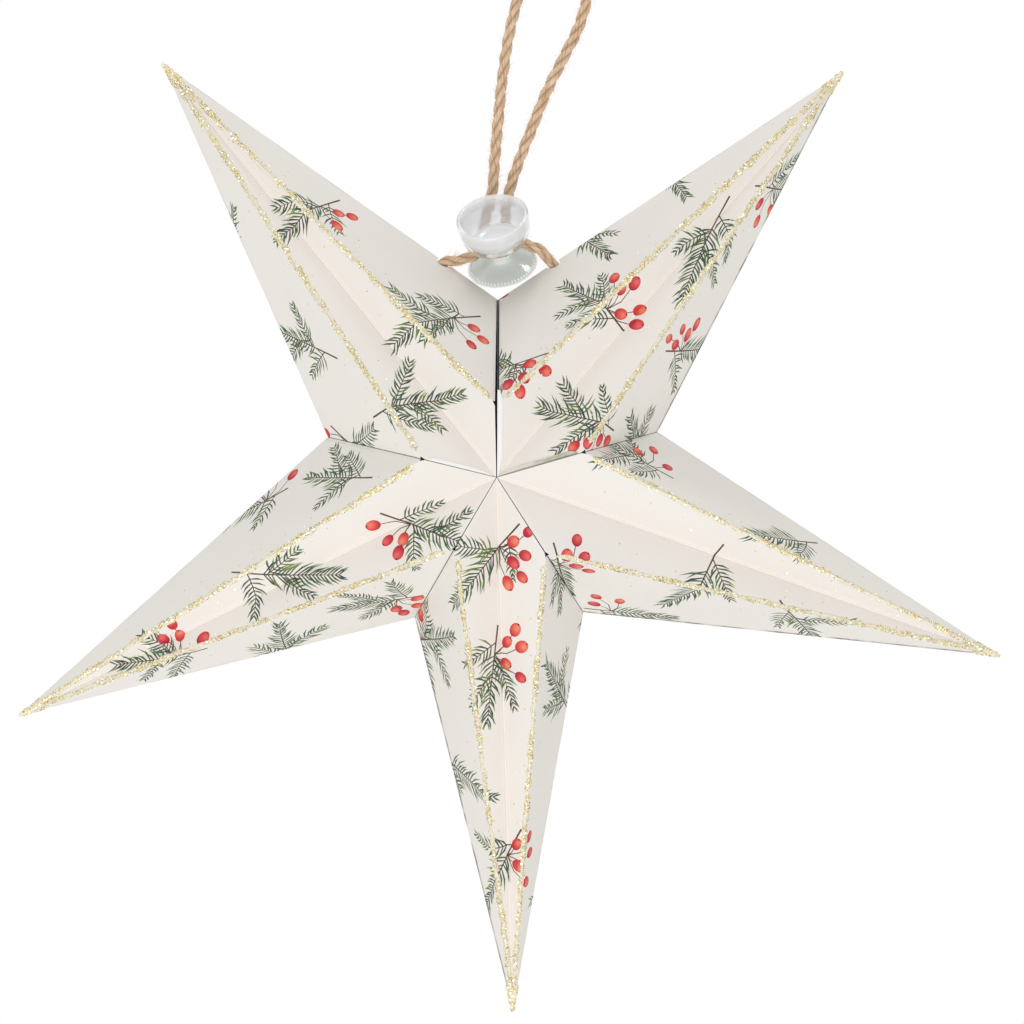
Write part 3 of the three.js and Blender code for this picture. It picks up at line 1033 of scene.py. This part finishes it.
def worn_cells(outline):
    """Short cells along the side edge, where the colour darkens towards the fold, and its line."""
    for i, (a, kind) in enumerate(outline):
        if kind == "edge":
            b = outline[(i + 1) % len(outline)][0]
            along = (b - a).normalized()
            inward = Vector((-along.y, along.x))
            count = int((b - a).length / DARK_EDGE_CELL)
            steps = [a.lerp(b, k / count) for k in range(count + 1)]
            wavy = [0.7 * noise.noise(Vector((k * 0.7, a.x, a.y))) for k in range(count + 1)]
            rows = [[row + (wave if row == DARK_EDGE_ROWS[-1] else 0) for wave in wavy]
                    for row in DARK_EDGE_ROWS]
            return [[steps[k] + inward * low[k], steps[k + 1] + inward * low[k + 1],
                     steps[k + 1] + inward * high[k + 1], steps[k] + inward * high[k]]
                    for low, high in zip(rows, rows[1:]) for k in range(count)], (a, inward)
    return [], None


def worn_colour(point, line, strength):
    """Paper that darkens towards the side edge, in patches."""
    a, inward = line
    patchy = 0.6 * strength + 0.15 + 1.5 * noise.noise(Vector((point.x * 0.1, point.y * 0.1, 4.1)))
    fine = 0.85 + 0.9 * noise.noise(Vector((point.x * 0.9, point.y * 0.9, 8.2)))
    near = clamp(0.7 + 1.15 * strength - (point - a).dot(inward) / 0.8)
    return blend(PAPER, DARK_EDGE, clamp(patchy) * clamp(fine) * near * strength)


print("worn cells on a side panel", len(worn_cells(panel_outline(fans[0][0][0]))[0]))

# %% [markdown]
# A constrained triangulation cuts the flat panel along all outlines at once, and says for each
# triangle which outlines it lies in. The triangles outside the panel or in a hole are left out.

# %% Cut a panel along the outlines
def area(ring):
    return sum(a.cross(b) for a, b in zip(ring, ring[1:] + ring[:1])) / 2


def triangulate(rings, spare=0.0005):
    """Cut the plane along rings, which all have to run anticlockwise."""
    verts, faces = [], []
    for ring in rings:
        if area(ring) < 0:
            ring = ring[::-1]
        faces.append(list(range(len(verts), len(verts) + len(ring))))
        verts += ring
    out = delaunay_2d_cdt(verts, [], faces, 1, spare, True)
    return out[0], out[2], out[5]


def inside(ring, x, y):
    """Whether a point lies within a ring of (x, y) pairs."""
    within = False
    ax, ay = ring[-1]
    for bx, by in ring:
        if (ay > y) != (by > y) and x < ax + (bx - ax) * (y - ay) / (by - ay):
            within = not within
        ax, ay = bx, by
    return within


def card_panel(p, point_index, shapes):
    outline = panel_outline(p)
    corners = [c for c, _ in outline]
    lines = edge_lines(outline)
    inner = corners
    for a, normal, width in lines:
        inner = clip(inner, a + normal * width, normal)
    valley = None
    if p["kind"] == "centre":
        which = p["names"].index("hub")
        along = Vector((math.cos(p["angle"] * which), math.sin(p["angle"] * which)))
        valley = (along * 0.0, Vector((-along.y, along.x)) * (1 if which == 0 else -1), along)
    turn = Matrix.Rotation(-p["turn"], 2)
    rings, inks = [corners, inner], [None, None]
    hole = twine_hole(p, point_index)
    if hole:
        rings.append(hole)
        inks.append("hole")
    if valley:
        for low, high in SCORE_LINES:
            rings.append(band(valley, low, high, p["lengths"][0] + 20))
            inks.append("score")
    cells, edge = worn_cells(outline)
    strength = 1.0 if (point_index, p["side"]) in DARK_EDGE_SIDES else 0.35
    rings += cells
    inks += ["worn"] * len(cells)
    for shape in shapes:
        local = [turn @ v for v in shape["poly"]]
        angles = [math.atan2(v.y, v.x) for v in local]
        if max(angles) < -0.002 or min(angles) > p["angle"] + 0.002:
            continue
        if min(v.length for v in local) > max(p["lengths"]):
            continue
        rings.append(local)
        inks.append(shape)
    verts, tris, owners = triangulate(rings)
    pairs = [[(v.x, v.y) for v in ring] for ring in rings]
    back = Matrix.Rotation(p["turn"], 2)
    kept, colours = [], []
    for tri, owner in zip(tris, owners):
        x, y = (sum(verts[v][axis] for v in tri) / 3 for axis in (0, 1))
        owned = [inks[k] for k in owner if inks[k] is not None and inside(pairs[k], x, y)]
        if 0 not in owner or "hole" in owned:
            continue
        kept.append(tri)
        found = [s for s in owned if isinstance(s, dict)]
        best = max(found, key=lambda s: s["rank"]) if found else None
        for v in tri:
            if best:
                colours.append(ink_colour(best, back @ verts[v]))
            elif "score" in owned:
                colours.append(SCORE)
            elif "worn" in owned:
                colours.append(worn_colour(verts[v], edge, strength))
            else:
                colours.append(paper_with_crease_shade(verts[v], valley))
    return verts, kept, colours, lines, inner


print("triangles on the first panel", len(card_panel(fans[0][0][0], 0, prints[0])[1]))

# %% [markdown]
# The cut face, a plain face under it and the rim between them make one closed plate.

# %% Build the forty panels
def loop_of(edges):
    """The single outline that boundary edges make, in order."""
    after = dict(edges)
    start = edges[0][0]
    loop = [start]
    while after[loop[-1]] != start:
        loop.append(after[loop[-1]])
        if len(loop) > len(edges):
            raise ValueError("open outline")
    return loop


def build_card(p, point_index, shapes):
    flat, tris, colours, lines, inner = card_panel(p, point_index, shapes)
    edges = {}
    for tri in tris:
        for a, b in zip(tri, tri[1:] + tri[:1]):
            edges[(a, b)] = edges.get((a, b), 0) + 1
    border = [(a, b) for (a, b) in edges if (b, a) not in edges]
    loop = loop_of(border)
    used = sorted({v for tri in tris for v in tri})
    number = {v: i for i, v in enumerate(used)}

    def place(point, side):
        at = p["tip"] + p["x"] * point.x + p["y"] * point.y
        return at + p["normal"] * (side * height_at(point, lines))
    verts = [place(flat[v], 1) for v in used]
    faces = [[number[v] for v in tri] for tri in tris]
    under, under_tris, owners = triangulate([[flat[v] for v in loop], inner])
    under_tris = [t for t, o in zip(under_tris, owners) if 0 in o]
    base = len(verts)
    verts += [place(v, -1) for v in under]
    faces += [[base + v for v in reversed(tri)] for tri in under_tris]
    nearest = {}
    for v in loop:
        nearest[v] = min(range(len(under)), key=lambda k: (under[k] - flat[v]).length_squared)
    for a, b in border:
        faces.append([number[b], number[a], base + nearest[a], base + nearest[b]])
    if p["flip"]:
        faces = [f[::-1] for f in faces]
        colours = [c for k in range(0, len(colours), 3) for c in colours[k:k + 3][::-1]]
    plain = sum(len(f) for f in faces[len(tris):])
    colours = colours + [WHITE_PAPER] * plain
    node = f"{p['name']}_panel_{p['side']}"
    card = new_object(f"{p['name']}_card_{p['side']}", verts, faces, node,
                      [printed_card])
    corner_colours(card.data, "print", colours)
    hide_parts(node)
    p["lines"] = lines
    return card


cards = []
for i, (panels, _) in enumerate(fans):
    for p in panels:
        cards.append(build_card(p, i, prints[i]))
print("card panels", len(cards), "triangles", sum(len(c.data.polygons) for c in cards))
open_edges = 0
for card in cards:
    seen = {}
    for polygon in card.data.polygons:
        for key in polygon.edge_keys:
            seen[key] = seen.get(key, 0) + 1
    open_edges += sum(1 for k in seen.values() if k != 2)
print("open edges", open_edges)

# %% [markdown]
# ## Glitter along the ridges
# A line of glue runs down every ridge and holds gold glitter. Each panel keeps its own half of the
# line, because the ridge is a hinge. The glue is a thin uneven film. Geometry Nodes scatters flat
# six-sided flakes over it, thicker in some places than in others, and a few strays beside it.

# %% Geometry Nodes: glitter flakes
def flake_tree():
    tree, start, spread = scatter_tree("Glitter flakes", (
        ("Flakes per square metre", 2000000.0), ("Flake size", 1.0), ("Tilt", 0.5),
        ("Lift", 0.0002), ("Clumping", 1.0)))
    seed = start.outputs["Seed"]
    clump = add_node(tree, "ShaderNodeTexNoise", {"Scale": 190.0, "Detail": 2.0}).outputs[0]
    spread_out = maths(tree, "MULTIPLY", maths(tree, "SUBTRACT", clump, 0.5), 6.0)
    spread_out = maths(tree, "MULTIPLY", spread_out, start.outputs["Clumping"])
    spread_out = maths(tree, "MAXIMUM", maths(tree, "ADD", spread_out, 1.0), 0.08)
    density = maths(tree, "MULTIPLY", spread_out, start.outputs["Flakes per square metre"])
    tree.links.new(density, spread.inputs["Density"])
    rise = maths(tree, "MULTIPLY", random_value(tree, "FLOAT", 0.0, 1.0, seed),
                 start.outputs["Lift"])
    any_way = random_value(tree, "FLOAT_VECTOR", (-1, -1, -9), (1, 1, 9), seed)
    up, wobble = (
        add_node(tree, "ShaderNodeVectorMath", {0: vector, "Scale": factor},
                 operation="SCALE").outputs[0]
        for vector, factor in ((spread.outputs["Normal"], rise), (any_way, start.outputs["Tilt"])))
    lift = add_node(tree, "GeometryNodeSetPosition", {"Geometry": spread.outputs["Points"],
                                                      "Offset": up})
    size = maths(tree, "MULTIPLY", random_value(tree, "FLOAT", 0.55, 1.3, seed),
                 start.outputs["Flake size"])
    return place_shapes(tree, start, lift.outputs[0],
                        turned_by(tree, spread.outputs["Rotation"], wobble), size)


FLAKES = flake_tree()
FLAKE_RADIUS, FLAKE_DOME = 0.3, 0.05


def flake():
    """A flat six-sided flake, very slightly domed."""
    ring = [(FLAKE_RADIUS * math.cos(k * math.pi / 3), FLAKE_RADIUS * math.sin(k * math.pi / 3), 0)
            for k in range(6)]
    faces = [(k, (k + 1) % 6, 6) for k in range(6)] + [tuple(reversed(range(6)))]
    return shape_object("flake", ring + [(0, 0, FLAKE_DOME)], faces)


FLAKE = flake()
print("tree", FLAKES.name, "nodes", len(FLAKES.nodes))

# %% Glue film on half a ridge
FILM_START, FILM_END = 5.2, 3.4      # mm from the tip, and from the ridge's inner end
FILM_STEPS = 110
FILM_WIDTH, FILM_LEAST_WIDTH = 1.02, 0.3
FILM_THICKNESS, FILM_LEAST_THICKNESS = 0.13, 0.03
FILM_ACROSS = (0.0, 0.35, 0.7, 1.0)  # rows of points, as shares of the width


def on_panel(p, point, lift):
    at = p["tip"] + p["x"] * point.x + p["y"] * point.y
    return at + p["normal"] * (height_at(point, p["lines"]) + lift)


def ridge_frame(p):
    """Direction of the ridge on the flat panel, the way in from it, and its length."""
    which = p["names"].index("ridge")
    a = p["angle"] * which
    along = Vector((math.cos(a), math.sin(a)))
    inward = Vector((-along.y, along.x)) * (1 if which == 0 else -1)
    return along, inward, p["lengths"][which]


def glue_film(p, partner, index):
    """Film of glue on the panel's side of the ridge, as upper rows and lower rows of points."""
    along, inward, length = ridge_frame(p)
    crest = (p["normal"] + partner["normal"]).normalized()
    upper, lower = [], []
    for i in range(FILM_STEPS + 1):
        s = FILM_START + (length - FILM_END - FILM_START) * i / FILM_STEPS
        wave = noise.noise(Vector((s * 0.35, index * 7.3, 1.7)))
        fine = noise.noise(Vector((s * 1.3, index * 7.3, 9.1)))
        width = min(max(FILM_LEAST_WIDTH, FILM_WIDTH + 0.7 * wave + 0.45 * fine),
                    0.85 * s * math.tan(p["angle"]))
        thick = max(FILM_LEAST_THICKNESS, FILM_THICKNESS + 0.1 * fine)
        if i in (0, FILM_STEPS):
            width, thick = 0.25, 0.04
        ridge_point = p["tip"] + p["x"] * (along.x * s) + p["y"] * (along.y * s)
        top, low = [], []
        for t in FILM_ACROSS:
            spot = along * s + inward * (width * t)
            bulge = thick * math.sqrt(max(1 - t * t, 0))
            if t == 0.0:
                top.append(ridge_point + crest * (0.05 + thick))
                low.append(on_panel(p, along * s + inward * 0.02, -0.04))
            else:
                top.append(on_panel(p, spot, bulge + 0.01))
                low.append(on_panel(p, spot, -0.03))
        upper.append(top)
        lower.append(low)
    return upper, lower


def film_faces(count, width):
    """Faces between the upper rows and the lower rows, and round their edges."""
    def up(i, k):
        return i * width + k

    def down(i, k):
        return count * width + i * width + k
    faces = []
    for i in range(count - 1):
        for k in range(width - 1):
            faces.append((up(i, k), up(i + 1, k), up(i + 1, k + 1), up(i, k + 1)))
            faces.append((down(i, k), down(i, k + 1), down(i + 1, k + 1), down(i + 1, k)))
        for k, way in ((0, 1), (width - 1, -1)):
            side = (up(i, k), down(i, k), down(i + 1, k), up(i + 1, k))
            faces.append(side[::way])
    for i, way in ((0, -1), (count - 1, 1)):
        for k in range(width - 1):
            faces.append((up(i, k), down(i, k), down(i, k + 1), up(i, k + 1))[::way])
    return faces


print("faces of a film", len(film_faces(FILM_STEPS + 1, len(FILM_ACROSS))))

# %% [markdown]
# The flakes are scattered over an open patch through the film's upper points, and the strays over
# a second patch beside it. Film and flakes are joined into one piece with a material for each.

# %% Flakes on every ridge
STRAYS_NEAR, STRAYS_FAR = 1.5, 9.0   # mm from the ridge
PATCH_PLACES = (22, 40, 70, 100)     # mm from the tip, where the patch for strays has rows


def faced_out(obj, smooth=True):
    """The closed piece with its faces turned outwards."""
    if signed_volume(obj) < 0:
        obj.data.flip_normals()
    if smooth:
        obj.data.shade_smooth()
    return obj


def join_meshes(name, film, flakes, body):
    """One piece of glue and flakes, each with its own material."""
    parts = [keep_mesh(f"{name}_part", m, body) for m in flakes if len(m.vertices)]
    with bpy.context.temp_override(active_object=film, selected_editable_objects=[film, *parts]):
        bpy.ops.object.join()
    return film


def patch(rows, name):
    """An open surface through rows of points, used only to scatter flakes on."""
    width = len(rows[0])
    faces = []
    for i in range(len(rows) - 1):
        for k in range(width - 1):
            a = i * width + k
            faces.append((a, a + 1, a + width + 1, a + width))
    return new_object(name, [v for row in rows for v in row], faces)


def film_normal_flip(p, rows):
    """Whether rows of points have to be turned round for their surface to face outwards."""
    a, b, c = rows[5][1], rows[5][2], rows[6][1]
    return (b - a).cross(c - a).dot(p["normal"]) < 0


def ridge_glitter(p, partner, index):
    upper, lower = glue_film(p, partner, index)
    verts = [v for row in upper for v in row] + [v for row in lower for v in row]
    body = f"{p['name']}_panel_{p['side']}"
    film = faced_out(new_object(f"{p['name']}_glitter_{p['side']}", verts,
                                film_faces(len(upper), len(FILM_ACROSS)), body,
                                [glue_material]))
    along, inward, length = ridge_frame(p)
    strays = []
    for s in (*PATCH_PLACES, length - 10):
        far = min(STRAYS_FAR, 0.75 * s * math.tan(p["angle"]))
        strays.append([on_panel(p, along * s + inward * d, 0.03)
                       for d in (STRAYS_NEAR, (far + STRAYS_NEAR) / 2, far)])
    flip = film_normal_flip(p, upper)
    flakes = []
    for rows, density, tilt, seed in ((upper, 2300000.0, 0.5, 3 * index),
                                      (strays, 16000.0, 0.2, 3 * index + 1)):
        carrier = patch([row[::-1] for row in rows] if flip else rows, "carrier")
        flakes.append(run_tree(FLAKES, carrier, Flakes_per_square_metre=density, Tilt=tilt,
                               Flake_size=1.0, Lift=0.00015 if rows is upper else 0.0, Clumping=1.0,
                               Seed=seed, Shape=FLAKE, Material=flake_material))
        bpy.data.objects.remove(carrier)
    film = join_meshes(film.name, film, flakes, body)
    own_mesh(film)
    return film


glitter = []
for i, (panels, _) in enumerate(fans):
    for a, b in ((0, 1), (3, 2), (4, 5), (7, 6)):
        glitter.append(ridge_glitter(panels[a], panels[b], 2 * len(glitter)))
        glitter.append(ridge_glitter(panels[b], panels[a], 2 * len(glitter)))
print("ridge lines", len(glitter), "triangles",
      sum(sum(len(f.vertices) - 2 for f in g.data.polygons) for g in glitter))

# %% [markdown]
# At the end of each point the glue and glitter cover the tip as a blunt drop, which also holds the
# eight panels together. The drop is a turned shape with bumps, dressed with the same flakes.

# %% Glittered ends of the points
TIP_PROFILE = [(-7.9, 0.0), (-7.8, 0.6), (-7.2, 0.9), (-6.0, 0.8), (-4.5, 0.66), (-2.8, 0.5),
               (-1.2, 0.4), (-0.2, 0.3), (0.5, 0.19), (0.75, 0.0)]
END_WIDTH, END_DEPTH = 2.25, 2.15


def glitter_end(name, bearing, seed):
    outward, across = polar(1, bearing), polar(1, bearing + 90)
    segments, verts, rows = 28, [], []
    for h, r in TIP_PROFILE:
        row = []
        for k in range(segments if r else 1):
            a = 2 * math.pi * k / segments
            base = outward * (TIP_RADIUS + h)
            spot = (across * (END_WIDTH * r * math.cos(a))
                    + Vector((0, END_DEPTH * r * math.sin(a), 0)))
            rough = 1 + 0.2 * noise.noise((base + spot) * 0.9 + Vector((0, 0, seed)))
            row.append(len(verts))
            verts.append(base + spot * min(rough, 1.02))
        rows.append(row if r else row * segments)
    body = f"{name}_tip"
    drop = faced_out(new_object(f"{name}_glitter_end", verts, ring_faces(rows), body,
                                [glue_material]))
    flakes = run_tree(FLAKES, drop, Flakes_per_square_metre=2800000.0, Tilt=0.4, Flake_size=1.0,
                      Lift=0.0001, Clumping=0.6, Seed=seed, Shape=FLAKE, Material=flake_material)
    drop = join_meshes(drop.name, drop, [flakes], body)
    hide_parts(f"{name}_glitter_tip")
    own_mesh(drop)
    return drop


ends = [glitter_end(name, bearing, 300 + i) for i, (name, bearing) in enumerate(POINTS)]
print("tips", len(ends), "faces", sum(len(e.data.polygons) for e in ends))

# %% [markdown]
# ## Folded edges at the middle
# In front, three of the centre panels end in a narrow folded lip where two points meet: a bare
# white one beside the open seam at the top, a bare one on the left and a printed one on the right.
# Each is a thin strip of card that lies on its own panel beside the seam, and the printed one has
# painted shade along its edges.

# %% Lips beside the seams
LIP_GAP = 0.12               # between the lip and the edge of its panel
LIP_STEPS = 40
# half of the lip's section, as shares of its width and of its thickness
LIP_SECTION = ((0.0, 0.1), (0.06, 0.75), (0.2, 1.0), (0.5, 1.05), (0.8, 1.0), (0.94, 0.7),
               (1.0, 0.1))


def seam_lip(name, p, start, end, width, thick, material, inks=None):
    """A rounded strip of card from start to end, in mm from the middle of the star."""
    which = p["names"].index("hub")
    corners = [Vector((math.cos(a), math.sin(a))) * r
               for a, r in zip((0.0, p["angle"]), p["lengths"])]
    hub, ridge = corners[which], corners[1 - which]
    along = (ridge - hub).normalized()
    inward = Vector((-along.y, along.x))
    if inward.dot(-hub) < 0:
        inward = -inward
    verts = []
    under = [(across, None) for across, _ in reversed(LIP_SECTION[1:-1])]
    for i in range(LIP_STEPS + 1):
        t = i / LIP_STEPS
        taper = min(1.0, 0.25 + 3.2 * t, 0.35 + 7 * (1 - t))
        for across, high in [*LIP_SECTION, *under]:
            spot = (hub + along * (start + (end - start) * t)
                    + inward * (LIP_GAP + width * taper * across))
            verts.append(on_panel(p, spot, -0.02 if high is None else thick * high))
    ring = len(LIP_SECTION) + len(under)
    rows = ring_rows(LIP_STEPS + 1, ring)
    faces = [*ring_faces(rows), rows[0], rows[-1][::-1]]
    lip = faced_out(new_object(name, verts, faces, f"{p['name']}_panel_{p['side']}",
                               [material]), smooth=False)
    if inks:
        colours = []
        for polygon in lip.data.polygons:
            for v in polygon.vertices:
                far, across = v // ring / LIP_STEPS, v % ring
                patchy = 0.5 + 1.1 * noise.noise(Vector((far * 9, across * 0.5, 5.0)))
                ink = blend(*inks, clamp(1.15 * far - 0.2) * clamp(patchy, 0.25))
                # painted shade: the lip's edges, where it meets the panel and the seam, are
                # darkened to 0.55
                rim = 0.55 if across in (0, 1, len(LIP_SECTION) - 1) else 1.0
                colours.append(tuple(rim * c for c in ink))
        corner_colours(lip.data, "print", colours)
    return lip


def find_panel(point, name, side):
    return next(p for p in fans[point][0] if p["name"].endswith(name) and p["side"] == side)


lips = [
    seam_lip("top_seam_lip", find_panel(4, "front_centre", "left"), 0.6, 26.5, 1.7, 0.3,
             bare_card),
    seam_lip("left_seam_lip", find_panel(0, "front_centre", "left"), 1.5, 21.6, 1.15, 0.25,
             bare_card),
    seam_lip("right_seam_lip", find_panel(4, "front_centre", "right"), 1.0, 25.5, 1.5, 0.3,
             printed_card, (linear(232, 226, 212), linear(118, 124, 86)))]
print("lips", [lip.name for lip in lips])

# %% [markdown]
# ## The clear suction cup
# A soft clear suction cup hangs with its open side up and towards the viewer. It has a round
# flat head at its back, and the twine runs behind the neck between the two. It is a turned shape,
# so one profile is spun round its axis, with rounded rims that catch the light as moulded plastic
# does. Its wall looks milky, and its thick floor is coloured opaque white as a painted reflection.

# %% Profile of the cup, radius and height along its axis
CUP_NECK = Vector((1.1, -3.2, 68))
CUP_LEAN, CUP_TURN = math.radians(49.3), math.radians(12.6)
# radius, height, and the tone there: 1 is white and lower is greyer
CUP_PROFILE = [(0, -2.6, 0.1), (2.5, -2.62, 0.1), (5.2, -2.95, 0.05), (7.8, -3.5, 0.1),
               (9.5, -3.9, 0.1), (10.1, -3.98, 0.2), (10.55, -3.98, 0.6), (10.76, -3.84, 0.8),
               (10.8, -3.68, 0.8), (10.65, -3.55, 0.7), (10.2, -3.4, 0.25), (8.6, -2.95, 0.05),
               (6.2, -2.35, 0.05), (4.3, -2.0, 0.1), (2.9, -1.8, 0.3), (2.3, -1.5, 0.7),
               (2.02, -0.9, 0.9), (2.0, 1.2, 0.9), (2.02, 3.2, 0.9), (2.3, 4.1, 0.9),
               (3.2, 4.5, 0.9), (6.0, 4.8, 0.9), (8.1, 5.4, 0.9), (9.3, 6.3, 0.9),
               (10.1, 7.6, 0.9), (10.65, 9.3, 0.9), (10.95, 11.2, 0.84), (11.05, 13.0, 0.86),
               (11.05, 14.0, 0.97), (11.1, 14.9, 1.0), (11.0, 15.3, 1.0), (10.6, 15.5, 1.0),
               (10.15, 15.45, 1.0), (9.85, 15.1, 1.0), (9.8, 14.2, 0.9), (9.75, 12.6, 0.68),
               (9.6, 10.6, 0.6), (9.2, 8.8, 0.66), (8.4, 7.5, 0.86), (7.3, 6.9, 1.0),
               (6.5, 7.1, 1.0), (6.0, 7.25, 1.0), (5.5, 7.0, 0.97), (4.4, 6.8, 0.94),
               (2.6, 6.8, 0.94), (0, 6.85, 0.94)]
MILKY = range(26, 39)        # the parts of the profile that make the wall and the rim
WHITE = range(39, 46)        # and those that make the floor, coloured opaque white as a painted reflection
CUP_SEGMENTS = 96


def cup_place(radius, height, angle):
    axis = Vector((0, -math.cos(CUP_LEAN), math.sin(CUP_LEAN)))
    back = Vector((0, math.sin(CUP_LEAN), math.cos(CUP_LEAN)))
    spot = (axis * height + Vector((1, 0, 0)) * (radius * math.cos(angle))
            + back * (radius * math.sin(angle)))
    return CUP_NECK + Matrix.Rotation(-CUP_TURN, 3, "Y") @ spot


def turned_piece(name, profile, segments):
    verts, rows, veil = [], [], []
    for r, h, clear in profile:
        count = segments if r else 1
        rows.append(list(range(len(verts), len(verts) + count)) if r else [len(verts)] * segments)
        verts += [cup_place(r, h, 2 * math.pi * k / segments) for k in range(count)]
        veil += [clear] * count
    piece = new_object(name, verts, ring_faces(rows), "cup",
                       [clear_plastic, milky_plastic, glint_and_reflection_plastic])
    looks = [1 if row in MILKY else 2 if row in WHITE else 0
             for row in range(len(rows) - 1) for _ in range(segments)]
    piece.data.polygons.foreach_set("material_index", looks)
    point_values(piece.data, "veil", "FLOAT", veil)
    return faced_out(piece)


cup = turned_piece("clear_suction_cup", CUP_PROFILE, CUP_SEGMENTS)
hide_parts("suction_cup")
print("cup volume", round(signed_volume(cup) * 1e9), "mm3")

# %% [markdown]
# The head has a ring of fine moulded beads round its rim, coloured opaque white as painted glints.
# Geometry Nodes puts one bead on each point of a circle, and the number and the size are inputs of
# the tree.

# %% Geometry Nodes: ring of beads
BEADS = 58
BEAD_RING, BEAD_RADIUS = 9.9, 0.34
BEAD_HEIGHT = -3.26          # on the head, along the cup's axis


def bead_tree():
    tree, start = new_tree("Ring of beads", (
        ("Beads", "Int", 60), ("Ring radius", "Float", 0.0112), ("Bead radius", "Float", 0.0003),
        ("Material", "Material", None)))
    ring = add_node(tree, "GeometryNodeMeshCircle", {"Vertices": start.outputs["Beads"],
                                                     "Radius": start.outputs["Ring radius"]})
    bead = add_node(tree, "GeometryNodeMeshIcoSphere", {"Radius": start.outputs["Bead radius"],
                                                        "Subdivisions": 2})
    on_points = add_node(tree, "GeometryNodeInstanceOnPoints", {"Points": ring.outputs[0],
                                                                "Instance": bead.outputs[0]})
    smooth = add_node(tree, "GeometryNodeSetShadeSmooth", {"Geometry": on_points.outputs[0]})
    return finish_tree(tree, start, smooth.outputs[0])


empty_carrier = bpy.data.objects.new("carrier", bpy.data.meshes.new("carrier"))
bpy.context.scene.collection.objects.link(empty_carrier)
bead_mesh = run_tree(bead_tree(), empty_carrier, Beads=BEADS, Ring_radius=BEAD_RING * MM,
                     Bead_radius=BEAD_RADIUS * MM, Material=glint_and_reflection_plastic)
bpy.data.objects.remove(empty_carrier)
for v in bead_mesh.vertices:
    r, a = math.hypot(v.co.x, v.co.y) / MM, math.atan2(v.co.y, v.co.x)
    v.co = (cup_place(r, BEAD_HEIGHT + v.co.z / MM, a) + STAR) * MM
# the beads take the white end of the tones, as painted glints
point_values(bead_mesh, "veil", "FLOAT", [1.0] * len(bead_mesh.vertices))
beads = faced_out(keep_mesh("cup_head_beads", bead_mesh, "cup"), smooth=False)
print("beads", BEADS, "faces", len(beads.data.polygons))

# %% [markdown]
# ## Floor and light
# The star hangs well above a plain pale floor. The background is white to the camera, and to
# reflections and clear plastic, but the light on the star is softer than that, so pale card keeps
# its tone. One large soft lamp stands in front, a little low.

# %% White surroundings and a soft lamp
WORLD_LIGHT = 0.79
FLOOR_HEIGHT, FLOOR_HALF = -1300, 3000
FLOOR_GLOW = 0.36            # lifts the floor to white where it is seen
LAMP_POWER, LAMP_SIZE, LAMP_DISTANCE = 4.9, 0.8, 1.3
GLINT_POWER, GLINT_SIZE = 0.5, 0.16
world = bpy.data.worlds.new("soft white room")
bpy.context.scene.world = world
world.use_nodes = True
tree = world.node_tree
background = tree.nodes["Background"]
background.inputs["Color"].default_value = (1, 1, 1, 1)


def seen_rays(tree):
    """1 for rays from the camera, from a gloss or through clear plastic, and 0 for soft light."""
    rays = tree.nodes.new("ShaderNodeLightPath")
    glossy = maths(tree, "MAXIMUM", rays.outputs["Is Camera Ray"], rays.outputs["Is Glossy Ray"])
    return maths(tree, "MAXIMUM", glossy, rays.outputs["Is Transmission Ray"])


lift = maths(tree, "MULTIPLY", seen_rays(tree), 1.0 - WORLD_LIGHT)
tree.links.new(maths(tree, "ADD", lift, WORLD_LIGHT), background.inputs["Strength"])

floor_material, tree, shader = new_material("pale floor", Roughness=0.9,
                                            Base_Color=(0.8, 0.8, 0.8, 1),
                                            Emission_Color=(1, 1, 1, 1))
tree.links.new(maths(tree, "MULTIPLY", seen_rays(tree), FLOOR_GLOW),
               shader.inputs["Emission Strength"])
floor = new_object("floor", [(x * FLOOR_HALF, y * FLOOR_HALF, FLOOR_HEIGHT)
                             for x, y in ((-1, -1), (1, -1), (1, 1), (-1, 1))],
                   [(0, 1, 2, 3)], materials=[floor_material])


def disk_lamp(name, size, power, place):
    lamp = bpy.data.objects.new(name, bpy.data.lights.new(name, "AREA"))
    lamp.data.shape, lamp.data.size, lamp.data.energy = "DISK", size, power
    lamp.location = place
    bpy.context.scene.collection.objects.link(lamp)
    return lamp


aim = Vector((-0.11, -0.78, -0.6)).normalized()
lamp = disk_lamp("soft front light", LAMP_SIZE, LAMP_POWER, STAR * MM + aim * LAMP_DISTANCE)
lamp.rotation_euler = (-aim).to_track_quat("-Z", "Y").to_euler()
# a small bright panel overhead, which the clear plastic reflects as glints
disk_lamp("overhead glint", GLINT_SIZE, GLINT_POWER, (STAR + Vector((36, -43, 870))) * MM)
bpy.context.scene.view_settings.view_transform = "Standard"
print("lamp", round(lamp.data.energy, 1), "W, world", WORLD_LIGHT)
